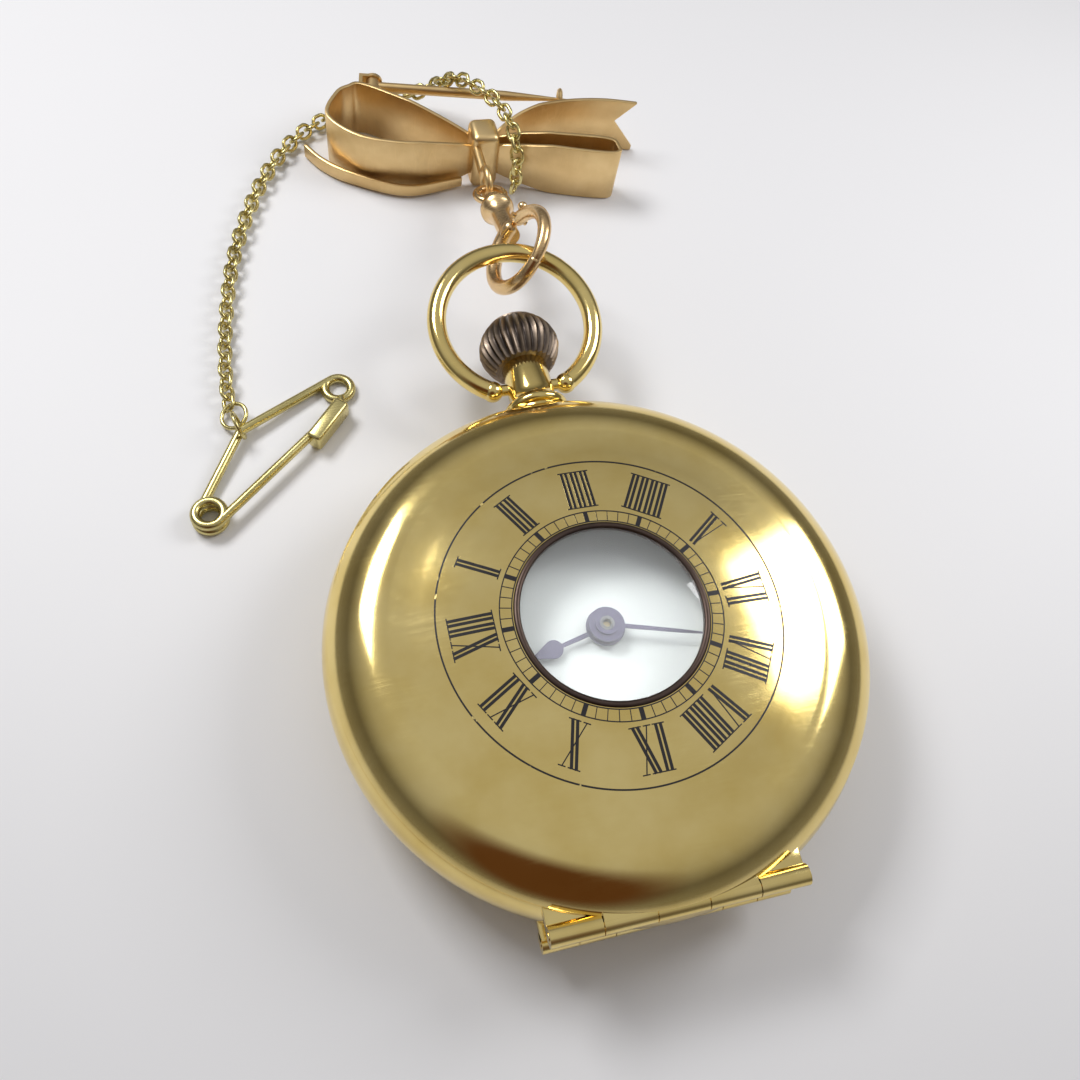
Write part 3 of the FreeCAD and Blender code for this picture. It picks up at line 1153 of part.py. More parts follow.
def winding():
    """The sleeve, the stem, the crown, the winding pinion and the clutch wheel."""
    sleeve = along_y(D.sleeve_radius, BAND_BORE + 0.9, D.neck_end - BAND_BORE - 1.5, 0, STEM_HEIGHT)
    bore = along_y(D.stem_radius + 0.05, BAND_BORE, D.neck_end - BAND_BORE, 0, STEM_HEIGHT)
    keep(cut(sleeve, bore), "pendant_sleeve")
    pinion_start = D.crown_wheel_distance + 1.0
    inner_end = pinion_start - 1.75
    square_end = pinion_start + D.winding_pinion_length + 0.9
    square = box((-D.stem_square / 2, inner_end, STEM_HEIGHT - D.stem_square / 2), D.stem_square,
                 square_end - inner_end, D.stem_square)
    shaft = along_y(D.stem_radius, square_end, CROWN_START + D.crown_recess - square_end + 0.5, 0, STEM_HEIGHT)
    keep(fuse(square, shaft), "stem")
    leaves, radius = D.winding_pinion_leaves.value, D.winding_pinion_radius.value
    module = radius / (leaves / 2 + 0.85)
    length = D.winding_pinion_length.value
    teeth = slab([toothed_outline(leaves, module, -90.0)], length, 0).cut(rod(0.48, -1, length + 1))
    keep(place(feature(teeth), (0, pinion_start, STEM_HEIGHT), X_AXIS, -90), "winding_pinion")
    hole = D.stem_square + 0.08
    clutch_length = 1.5
    clutch_start = pinion_start - clutch_length - 0.05
    drum = fuse(along_y(0.85, clutch_start, 0.45, 0, STEM_HEIGHT), along_y(0.62, clutch_start, clutch_length, 0,
                                                                          STEM_HEIGHT),
                along_y(0.85, clutch_start + 0.9, clutch_length - 0.9, 0, STEM_HEIGHT))
    socket = box((-hole / 2, clutch_start - 0.5, STEM_HEIGHT - hole / 2), hole, clutch_length + 1, hole)
    keep(cut(drum, socket), "clutch_wheel")


CROWN_START = D.neck_end - D.crown_overlap


def crown():
    """The ribbed crown, hollowed where it covers the neck's end."""
    start, radius, length = CROWN_START, D.crown_radius, D.crown_length
    recess, stem_end = D.neck_radius + 0.15, start + D.crown_recess + 0.5
    onion = turned([(0, stem_end), (D.stem_radius, stem_end), (D.stem_radius, start + D.crown_recess),
                    (recess, start + D.crown_recess), (recess, start),
                    (radius - 0.75, start), (radius, start + length * 0.4, radius * 1.1),
                    (radius - 1.0, start + length - 0.35, 6.0), (0, start + length)], "XY_Plane")
    ribs, groove = D.crown_ribs.value, D.crown_rib_depth.value
    step = 360.0 / ribs
    points = []
    for i in range(int(ribs)):
        points += ring_points(radius.value + 0.02, [(i - 0.2) * step, (i + 0.2) * step])
        points += ring_points(radius.value - groove, [(i + 0.5) * step])
    star = slab([Part.makePolygon(points + points[:1])], length.value + 1, start.value - 0.5)
    star.rotate(Vector(0, 0, 0), Vector(1, 0, 0), -90)
    ribbed = common(onion, feature(star))
    keep(place(ribbed, (0, 0, STEM_HEIGHT)), "crown")


BOW_END = D.neck_foot_radius + D.bow_wire_radius + 0.05
BOW_REACH = root(D.bow_ring_radius * D.bow_ring_radius - BOW_END * BOW_END)


def bow_point(across):
    """The place of the bow's centreline at its far side, at a distance across the watch."""
    out = BOW_REACH + root(D.bow_ring_radius * D.bow_ring_radius - across * across)
    return D.bow_pivot_distance + out * cosine(D.bow_tilt), STEM_HEIGHT + out * sine(D.bow_tilt)


def bow():
    """The round bow, open at the neck, with a ball and a pin on each end."""
    opening = math.degrees(math.asin(BOW_END.value / D.bow_ring_radius.value))
    pieces = [primitive("Torus", (0, BOW_REACH, 0), Z_AXIS, opening - 90, Radius1=D.bow_ring_radius,
                        Radius2=D.bow_wire_radius, Angle3=360 - 2 * opening)]
    for side in (-1, 1):
        pieces.append(primitive("Sphere", (BOW_END * side, 0, 0), Radius=D.bow_wire_radius + 0.06))
        start = -BOW_END if side < 0 else Size(1.35, "1.35")
        pieces.append(along_x(D.bow_pin_radius, start, BOW_END - 1.35, 0, 0))
    keep(place(fuse(*pieces), (0, D.bow_pivot_distance, STEM_HEIGHT), X_AXIS, D.bow_tilt), "bow")


SWIVEL_Y, SWIVEL_Z = bow_point(D.swivel_x)
HOOK_U = Vector(math.sin(math.radians(D.hook_twist.value)), 0, math.cos(math.radians(D.hook_twist.value)))
HOOK_V = Vector(0, 1, 0)


def swivel_place(piece, label):
    """Put a piece of the swivel, made about the bow's wire, on its slope."""
    keep(place(piece, (D.swivel_x, SWIVEL_Y, SWIVEL_Z), X_AXIS, -D.swivel_slope.value), label)


def hook_point(radius, angle, aside=0.0):
    """A point of the hook's plane, by radius and angle about the hook's centre."""
    turn = math.radians(angle)
    flat = HOOK_U * (radius * math.cos(turn)) + HOOK_V * (radius * math.sin(turn))
    return flat + HOOK_U.cross(HOOK_V) * aside + Vector(0, 0, D.swivel_rise.value)


def hook_arc(start, end):
    """A piece of the hook's round wire between two angles."""
    radius, wire = D.hook_radius.value, D.hook_wire_radius.value
    turn = math.radians(start)
    first = HOOK_U * math.cos(turn) + HOOK_V * math.sin(turn)
    return hoop(radius, wire, Vector(0, 0, D.swivel_rise.value), HOOK_U.cross(HOOK_V), first, end - start)


def tube(radius, start, end):
    """A round bar between two points."""
    way = end - start
    return Part.makeCylinder(radius, way.Length, start, way)


def swivel():
    """The hook with its flared base, the sprung gate on its rivet and the turning eye."""
    axis = Vector(0, 0, D.swivel_rise.value)
    radius, wire = D.hook_radius.value, D.hook_wire_radius.value
    shank_end = radius + D.swivel_shank_length.value
    base_end = shank_end + D.swivel_base_length.value
    normal = HOOK_U.cross(HOOK_V)
    fixed = [hook_arc(88.0, 360 + D.gate_end.value - 3.0),
             tube(D.swivel_shank_radius.value, axis + HOOK_V * (radius - 0.35), axis + HOOK_V * (shank_end + 0.1)),
             Part.makeCone(D.swivel_shank_radius.value, D.swivel_base_radius.value, base_end - shank_end - 0.4,
                           axis + HOOK_V * shank_end, HOOK_V),
             tube(D.swivel_base_radius.value, axis + HOOK_V * (base_end - 0.4), axis + HOOK_V * base_end)]
    rivet = hook_point(radius, D.gate_start.value)
    inward = hook_point(radius, 90.0)
    for side in (-1, 1):
        offset = normal * (side * (wire + 0.19))
        plate = normal * 0.15
        fixed.append(tube(0.5, rivet + offset - plate, rivet + offset + plate))
        way = inward - rivet
        web = Part.makeBox(way.Length + 0.3, 0.7, 0.3, Vector(-0.0, -0.35, -0.15))
        web.Placement = Placement(rivet + offset, Rotation(way, normal.cross(way), normal, "XYZ"))
        fixed.append(web)
    gate_room = tube(wire + 0.1, rivet - normal * (wire + 0.05), rivet + normal * (wire + 0.05))
    post_room = tube(0.35, axis + HOOK_V * (shank_end + 0.2), axis + HOOK_V * (base_end + 1))
    pin = tube(D.gate_rivet_radius.value, rivet - normal * (wire + 0.34), rivet + normal * (wire + 0.34))
    swivel_place(feature(joined([joined(fixed).cut(gate_room).cut(post_room), pin])), "swivel_hook")
    thumb = hook_point(radius + 0.95, D.gate_start.value - 4)
    gate = [hook_arc(D.gate_end.value, D.gate_start.value), tube(wire, rivet - normal * wire, rivet + normal * wire),
            tube(0.3, hook_point(radius, D.gate_start.value - 4), thumb), knob(0.36, thumb)]
    pin_room = tube(D.gate_rivet_radius.value + D.running_gap.value, rivet - normal * 2, rivet + normal * 2)
    swivel_place(feature(joined(gate).cut(pin_room)), "swivel_gate")
    ball = D.swivel_ball_radius.value
    eye_centre = axis + HOOK_V * D.eye_distance.value
    eye = [knob(ball, axis + HOOK_V * (base_end + ball + 0.03), Y_AXIS),
           tube(0.3, axis + HOOK_V * (shank_end + 0.3), axis + HOOK_V * (base_end + ball)),
           hoop(D.eye_radius.value, D.eye_wire_radius.value, eye_centre, Z_AXIS)]
    swivel_place(feature(joined(eye)), "swivel_eye")


HANGING_DISTANCE = D.eye_distance + D.hanging_ring_radius + 0.3
HANGING_Y = SWIVEL_Y + HANGING_DISTANCE * cosine(D.swivel_slope) + D.swivel_rise * sine(D.swivel_slope)
HANGING_Z = SWIVEL_Z - HANGING_DISTANCE * sine(D.swivel_slope) + D.swivel_rise * cosine(D.swivel_slope)
RIBBON_BASE = 0.05


def outline_of(points):
    """A closed wire through alternate ends and middles of arcs; a middle of None is a straight side."""
    edges = []
    for i in range(0, len(points), 2):
        start, middle, end = points[i], points[i + 1], points[(i + 2) % len(points)]
        if middle is None:
            edges.append(Part.LineSegment(Vector(*start, 0), Vector(*end, 0)).toShape())
        else:
            edges.append(Part.Arc(Vector(*start, 0), Vector(*middle, 0), Vector(*end, 0)).toShape())
    return Part.Wire(edges)


def ribbon_loop(points):
    """A standing loop of ribbon from its outer outline, and the same loop filled."""
    outer = outline_of(points)
    inner = outer.makeOffset2D(-D.ribbon_sheet.value)
    height = D.ribbon_height.value
    solid = Part.Face(outer).extrude(Vector(0, 0, height))
    return solid.cut(Part.Face(inner).extrude(Vector(0, 0, height))), solid


def knot_block():
    """The knot, with rounded edges along the ribbon."""
    high, half = D.ribbon_height.value + 0.2, D.knot_depth.value / 2
    bend, y = D.knot_bend.value, D.knot_y.value
    mid = bend * 0.3
    wire = Part.makePolygon([Vector(*p, 0) for p in (
        (y - half, bend), (y - half, high - bend), (y - half + mid, high - mid), (y - half + bend, high),
        (y + half - bend, high), (y + half - mid, high - mid), (y + half, high - bend), (y + half, bend),
        (y + half - mid, mid), (y + half - bend, 0), (y - half + bend, 0), (y - half + mid, mid), (y - half, bend))])
    wire.rotate(Vector(), Vector(1, 1, 1), 120)
    wire.translate(Vector(D.knot_x.value - D.knot_width.value / 2, 0, 0))
    return Part.Face(wire).extrude(Vector(D.knot_width.value, 0, 0))


def ribbon_strip(front):
    """A standing strip of ribbon along a chain of arcs, given as ends and middles."""
    edges = []
    for i in range(0, len(front) - 1, 2):
        start, middle, end = front[i], front[i + 1], front[i + 2]
        edges.append(Part.Arc(Vector(*start, 0), Vector(*middle, 0), Vector(*end, 0)).toShape())
    line = Part.Wire(edges)
    band = line.makeOffset2D(D.ribbon_sheet.value, 0, True, True)
    return band.extrude(Vector(0, 0, D.ribbon_height.value)) if band.Faces else \
        Part.Face(band).extrude(Vector(0, 0, D.ribbon_height.value))


def side_view(points):
    """A solid whose side view, along Y, is a closed outline of (x, z) points."""
    wire = outline_of(points)
    wire.rotate(Vector(), Vector(1, 0, 0), 90)
    wire.translate(Vector(0, 60, 0))
    return Part.Face(wire).extrude(Vector(0, -40, 0))


def knot_relative(points):
    """Outline points given from the knot's middle."""
    x, y = D.knot_x.value, D.knot_y.value
    return [None if p is None else (p[0] + x, p[1] + y) for p in points]


def brooch_ribbons():
    """The two loops and the two tails of the ribbon bow, pinched towards the knot."""
    high, pinch = D.ribbon_height.value, D.ribbon_pinch.value
    low, top = (high - pinch) / 2, (high + pinch) / 2
    x = D.knot_x.value
    knot = knot_block()
    left, left_filled = ribbon_loop(knot_relative([(-0.9, -0.5), (-6.3, -0.95), (-10.1, 0.3), (-12.45, 2.9), (-11.3, 5.5),
                                      (-10.2, 6.35), (-8.7, 6.4), (-4.9, 3.75), (-0.9, 0.8), None]))
    waist = side_view([(x - 20, 0), None, (x - 6.5, 0), (x - 3.4, 0.45), (x - 0.8, low), None, (x - 0.8, top),
                       (x - 3.4, high - 0.45), (x - 6.5, high), None, (x - 20, high), None])
    keep(place(feature(left.common(waist).cut(knot)), (0, 0, RIBBON_BASE)), "brooch_left_loop")
    right, right_filled = ribbon_loop(knot_relative([(0.9, 0.45), (5.4, -0.75), (10.1, -1.75), (10.95, -2.75), (10.3, -3.75),
                                       (5.2, -2.45), (0.9, -0.6), None]))
    waist = side_view([(x + 0.8, low - 0.5), (x + 2.6, 0.3), (x + 5.5, 0), None, (x + 20, 0), None, (x + 20, high),
                       None, (x + 5.5, high), (x + 2.6, high - 0.3), (x + 0.8, top + 0.5), None])
    keep(place(feature(right.common(waist).cut(knot)), (0, 0, RIBBON_BASE)), "brooch_right_loop")
    tail = ribbon_strip(knot_relative([(0.95, 0.55), (3.6, 2.25), (7.0, 2.75), (10.6, 2.6), (14.1, 1.75)]))
    shape = side_view([(x + 0.8, low), None, (x + 3.4, 0.3), None, (x + 13.1, 0.3), None, (x + 13.6, 1.2), None,
                       (x + 12.1, 2.9), None, (x + 14.2, high), None, (x + 5.0, high), None, (x + 0.8, top), None])
    tail = tail.common(shape).cut(knot).cut(right_filled)
    keep(place(feature(tail), (0, 0, RIBBON_BASE)), "brooch_right_tail")
    tail = ribbon_strip(knot_relative([(-1.0, -0.95), (-6.6, -1.75), (-11.0, 0.35), (-13.0, 2.0), (-14.3, 3.9)]))
    shape = side_view([(x - 14.6, 0), None, (x - 2.0, 0), None, (x - 2.0, 0.7), None, (x - 10.5, 1.3), None,
                       (x - 14.0, 2.6), None, (x - 12.9, 1.2), None])
    keep(place(feature(tail.common(shape).cut(knot).cut(left_filled)), (0, 0, RIBBON_BASE)), "brooch_left_tail")
    ring = place(feature(hoop(D.hanging_ring_radius.value, D.eye_wire_radius.value, Vector(), X_AXIS)),
                 (D.swivel_x, HANGING_Y, HANGING_Z))
    start = HANGING_Y + D.hanging_ring_radius
    post = along_y(0.4, start, D.knot_y - D.knot_depth / 2 - start + 0.1, D.swivel_x, HANGING_Z)
    keep(fuse(place(feature(knot), (0, 0, RIBBON_BASE)), ring, post), "brooch_knot")
    return left_filled


PIN_ROOT = (D.knot_x - 7.9, D.knot_y + 7.4)


def brooch_pin(loop):
    """The brooch's pin, the joint that carries it and the catch that holds its tip."""
    wire, length = D.brooch_pin_radius.value, D.brooch_pin_length.value
    eye = Part.makeCylinder(0.75, 0.86, Vector(0, -0.43, 0), Vector(0, 1, 0))
    stem = Part.makeCylinder(wire, length * 0.8, Vector(0.3, 0, 0), Vector(1, 0, 0))
    tip = Part.makeCone(wire, 0.12, length * 0.2, Vector(0.3 + length * 0.8, 0, 0), Vector(1, 0, 0))
    rivet_room = Part.makeCylinder(0.25 + D.running_gap.value, 3, Vector(0, -1.5, 0), Vector(0, 1, 0))
    at = (PIN_ROOT[0], PIN_ROOT[1], D.brooch_pin_height)
    turn = D.brooch_pin_bearing
    keep(place(feature(joined([eye, stem, tip]).cut(rivet_room)), at, Z_AXIS, turn), "brooch_pin")
    plates = [Part.makeCylinder(0.75, 0.3, Vector(0, y, 0), Vector(0, 1, 0)) for y in (-0.75, 0.45)]
    back = Part.makeBox(0.3, 1.5, 1.3, Vector(-1.15, -0.75, -0.65))
    foot = Part.makeBox(1.1, 1.1, 1.3, Vector(-1.15, -1.75, -0.65))
    arms = [Part.makeBox(1.0, 0.3, 1.3, Vector(-1.1, y, -0.65)) for y in (-0.75, 0.45)]
    rivet = Part.makeCylinder(0.25, 1.5, Vector(0, -0.75, 0), Vector(0, 1, 0))
    there = Placement(Vector(*[number(c) for c in at]), Rotation(Vector(0, 0, 1), number(turn)))
    room = loop.copy()
    room.Placement = there.inverse()
    keep(place(feature(joined([*plates, back, foot, *arms, rivet]).cut(room)), at, Z_AXIS, turn), "brooch_pin_joint")
    reach = length - 0.9
    ring = hoop(0.72, 0.2, Vector(), Z_AXIS, X_AXIS, 230)
    ring.Placement = Placement(Vector(reach, 0, 0), Rotation(Vector(0, -0.906, -0.423), Vector(0, -0.423, 0.906),
                                                             Vector(-1, 0, 0), "XYZ"))
    post = Part.makeCylinder(0.2, 1.4, Vector(reach, -0.6, 0), Vector(0, -1, 0))
    tail = made("brooch_right_tail").transformed(there.inverse().toMatrix())
    keep(place(feature(joined([ring, post]).cut(tail)), at, Z_AXIS, turn), "brooch_catch")


CHAIN_ROUTE = (
    (-20.72, 23.97, 0.75), (-20.75, 25.5, 0.75), (-20.55, 28.6, 0.75), (-20.1, 32.2, 0.75), (-19.3, 36.6, 0.75), (-17.9, 41.0, 0.75),
    (-15.9, 45.6, 0.75), (-13.4, 49.3, 0.75), (-10.4, 51.8, 0.75), (-6.8, 53.0, 0.75), (-3.2, 53.5, 0.9),
    (-0.6, 52.9, 2.6), (0.9, 51.1, 4.9), (2.3, 48.7, 5.75), (3.6, 46.4, 5.95), (4.2, 44.2, 5.75), (4.4, 42.6, 4.7),
    (4.45, 41.9, 3.0), (4.3, 41.8, 1.4))


def route_length(route):
    return sum((Vector(*b) - Vector(*a)).Length for a, b in zip(route, route[1:]))


def smooth_route(route):
    """A dense line through the route's points, as short arcs."""
    points = [Vector(*p) for p in route]
    curve = Part.BSplineCurve()
    curve.interpolate(points)
    return curve.toShape()


def chain_ring(length, width, wire, sides):
    """A flat link of square wire with rounded ends, about the origin, its length along X."""
    def loop(half_length, half_width):
        points = []
        for i in range(sides):
            turn = 2 * math.pi * (i + 0.5) / sides
            scale = 1 / math.cos(math.pi / sides)
            points.append(Vector(half_length * scale * math.cos(turn), half_width * scale * math.sin(turn), 0))
        return Part.makePolygon(points + points[:1])
    solid = Part.Face(loop(length / 2, width / 2)).extrude(Vector(0, 0, wire))
    solid = solid.cut(Part.Face(loop(length / 2 - wire, width / 2 - wire)).extrude(Vector(0, 0, wire)))
    solid.translate(Vector(0, 0, -wire / 2))
    return solid


def chain():
    """The links of the safety chain, each threaded through the next and turned an eighth to the table."""
    line = smooth_route(CHAIN_ROUTE)
    length, width, wire = D.chain_link_length.value, D.chain_link_width.value, D.chain_wire.value
    pitch = length - 2 * wire - 0.08
    count = int(line.Length / pitch)
    link = chain_ring(length, width, wire, 8)
    links = []
    for i in range(count + 1):
        at = line.getParameterByLength(min(line.Length, i * line.Length / count))
        point, way = line.valueAt(at), line.tangentAt(at)
        side = Vector(0, 0, 1).cross(way)
        if side.Length < 0.2:
            side = Vector(-1, 0, 0)
        side.normalize()
        up = way.cross(side)
        roll = math.radians(-45 if i % 2 else 45)
        across = side * math.cos(roll) + up * math.sin(roll)
        piece = link.copy()
        piece.Placement = Placement(point, Rotation(way, across, way.cross(across), "XYZ"))
        links.append(piece)
    print("chain: %d links, length %.2f" % (len(links), line.Length))
    keep(feature(Part.makeCompound(links)), "chain_links")


JUMP_RINGS = ((-20.2, 21.65, 1.17, 78), (-20.46, 22.8, 0.72, -22))
SAFETY_COILS = ((-22.8, 15.0), (-12.9, 24.3))
SAFETY_BEND = (-20.15, 21.4)
SHEATH = ((-12.75, 22.5), (-15.3, 19.6))


def safety_pin():
    """The safety pin: a bent back wire with a coil at each end, a sheath, and the pin that springs open."""
    wire, coil = D.safety_wire_radius.value, D.safety_coil_radius.value
    low, high = wire + 0.02, 3 * wire + 0.07

    def at(point, height=low):
        return Vector(point[0], point[1], height)

    hinge_end, top_end = [at(point) for point in SAFETY_COILS]
    bend = at(SAFETY_BEND, 0.8)

    def tangent(start, end, side):
        """The point of a coil where a straight wire leaves it."""
        way = Vector(end.x - start.x, end.y - start.y, 0).normalize()
        return start + Vector(-way.y, way.x, 0) * (side * coil)

    pieces = [hoop(coil, wire, hinge_end, Z_AXIS), hoop(coil, wire, top_end, Z_AXIS),
              bar(wire, tangent(hinge_end, bend, 1), bend), bar(wire, bend, tangent(top_end, bend, -1)),
              knob(wire, bend)]
    head, mouth = [at(point, high - wire) for point in SHEATH]
    way = (mouth - head).normalize()
    across = Vector(-way.y, way.x, 0)
    size = (mouth - head).Length
    sheath = Part.makeBox(size, 1.15, 1.55, Vector(0, -0.575, -0.63))
    room = Part.makeBox(size, 1.15, 1.1, Vector(0.35, -0.95, -0.38))
    sheath = sheath.cut(room)
    sheath.Placement = Placement(head, Rotation(way, across, Vector(0, 0, 1), "XYZ"))
    link = bar(wire * 0.9, top_end + (head - top_end).normalize() * coil, head + way * 0.2)
    keep(feature(joined([*pieces, sheath, link])), "safety_pin_frame")
    root_centre = at(SAFETY_COILS[0], high)
    tip = head + way * 0.55
    tip.z = high
    start = tangent(root_centre, tip, -1)
    arm_way = tip - start
    arm = [hoop(coil, wire, root_centre, Z_AXIS), bar(wire, start, start + arm_way * 0.8),
           Part.makeCone(wire, 0.1, arm_way.Length * 0.2, start + arm_way * 0.8, arm_way)]
    keep(feature(joined(arm)), "safety_pin_arm")
    rings, thick = [], D.chain_wire.value
    across = D.jump_ring_radius.value * 2 + thick
    for *centre, lean in JUMP_RINGS:
        ring = chain_ring(across, across, thick, 12)
        ring.Placement = Placement(Vector(*centre), Rotation(Vector(-0.218, 0.976, 0), lean))
        rings.append(ring)
    keep(feature(Part.makeCompound(rings)), "jump_rings")


case_band()
joint_pins()
front_cover()
window()
back_cover()
cuvette()
bezel_and_crystal()
main_plate()
bridges()
jewels_and_screws()
dial()
barrel_and_spring()
crown_wheel()
click()
train()
pallet_fork()
balance()
motion_work()
hands()
cover_springs()
winding()
crown()
bow()
swivel()
LEFT_LOOP = brooch_ribbons()
brooch_pin(LEFT_LOOP)
chain()
safety_pin()


def write_parts():
    """Check every object and write each piece to its own file."""
    doc.recompute()
    for obj in doc.Objects:
        if "Invalid" in obj.State or "Error" in obj.State:
            raise RuntimeError("%s (%s) failed: %s" % (obj.Name, obj.Label, obj.State))
    os.makedirs("parts", exist_ok=True)
    for obj in NODES:
        if obj.Shape.isNull() or not obj.Shape.isValid():
            raise RuntimeError("%s has no sound shape" % obj.Label)
        obj.Shape.exportStep("parts/%s.step" % obj.Label)
        print("%-20s solids %2d volume %9.3f" % (obj.Label, len(obj.Shape.Solids), obj.Shape.Volume))


write_parts()
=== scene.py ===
"""A half hunter pocket watch on a swivel, with its ribbon brooch, safety chain and safety pin."""

from __future__ import annotations

import json
import logging
import math
from contextlib import contextmanager
from dataclasses import dataclass, field
from enum import Enum
from typing import Callable, Iterable, Iterator, Optional, Sequence, Union

import bpy
from mathutils import Matrix, Vector

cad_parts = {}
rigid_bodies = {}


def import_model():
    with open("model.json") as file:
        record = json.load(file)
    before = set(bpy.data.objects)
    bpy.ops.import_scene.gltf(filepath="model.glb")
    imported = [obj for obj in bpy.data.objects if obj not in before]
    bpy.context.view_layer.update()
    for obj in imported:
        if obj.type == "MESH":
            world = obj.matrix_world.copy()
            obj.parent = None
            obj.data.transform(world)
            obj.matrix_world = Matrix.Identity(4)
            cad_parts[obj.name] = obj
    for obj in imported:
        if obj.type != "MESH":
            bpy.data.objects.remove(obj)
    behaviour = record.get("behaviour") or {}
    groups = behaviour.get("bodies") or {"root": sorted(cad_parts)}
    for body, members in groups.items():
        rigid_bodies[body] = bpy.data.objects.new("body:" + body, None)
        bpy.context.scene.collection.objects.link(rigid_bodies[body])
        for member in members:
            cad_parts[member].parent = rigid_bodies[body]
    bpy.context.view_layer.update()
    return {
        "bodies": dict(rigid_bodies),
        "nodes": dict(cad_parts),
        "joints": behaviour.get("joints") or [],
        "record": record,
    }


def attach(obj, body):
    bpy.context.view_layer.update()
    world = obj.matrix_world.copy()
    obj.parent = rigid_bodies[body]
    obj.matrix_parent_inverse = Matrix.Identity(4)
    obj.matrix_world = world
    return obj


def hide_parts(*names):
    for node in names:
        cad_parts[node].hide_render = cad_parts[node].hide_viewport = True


LOG = logging.getLogger("pocket_watch")
MM = 0.001

Point2 = tuple[float, float]
Point3 = tuple[float, float, float]
Colour = tuple[float, float, float]
Piece = bpy.types.Object


# ---------------------------------------------------------------- shader recipes


class Signal:
    """A shader socket that takes part in ordinary sums."""

    def __init__(self, recipe: "Recipe", socket: bpy.types.NodeSocket) -> None:
        """Wrap a socket of a recipe."""
        self.recipe = recipe
        self.socket = socket

    def _math(self, operation: str, *values: "Value") -> "Signal":
        """Add a Math node with these inputs."""
        return self.recipe.node("ShaderNodeMath", {"operation": operation}, dict(enumerate(values)))

    def __add__(self, other: "Value") -> "Signal":
        """The sum."""
        return self._math("ADD", self, other)

    def __sub__(self, other: "Value") -> "Signal":
        """The difference."""
        return self._math("SUBTRACT", self, other)

    def __rsub__(self, other: "Value") -> "Signal":
        """A number less this signal."""
        return self._math("SUBTRACT", other, self)

    def __mul__(self, other: "Value") -> "Signal":
        """The product."""
        return self._math("MULTIPLY", self, other)

    __radd__ = __add__
    __rmul__ = __mul__

    def absolute(self) -> "Signal":
        """The size without its sign."""
        return self._math("ABSOLUTE", self)

    def most(self, other: "Value") -> "Signal":
        """The greater of the two."""
        return self._math("MAXIMUM", self, other)

    def clamped(self) -> "Signal":
        """Held between 0 and 1."""
        return self.recipe.node("ShaderNodeClamp", {}, {"Value": self})


Value = Union[Signal, float, int]
Tint = Union[Signal, Colour]


def set_stops(ramp: bpy.types.Node, stops: Sequence[tuple[float, Colour]]) -> None:
    """Give a ramp stops of (place, colour)."""
    elements = ramp.color_ramp.elements
    while len(elements) < len(stops):
        elements.new(0.5)
    for element, (place, colour) in zip(elements, stops):
        element.position = place
        element.color = (*colour, 1.0)


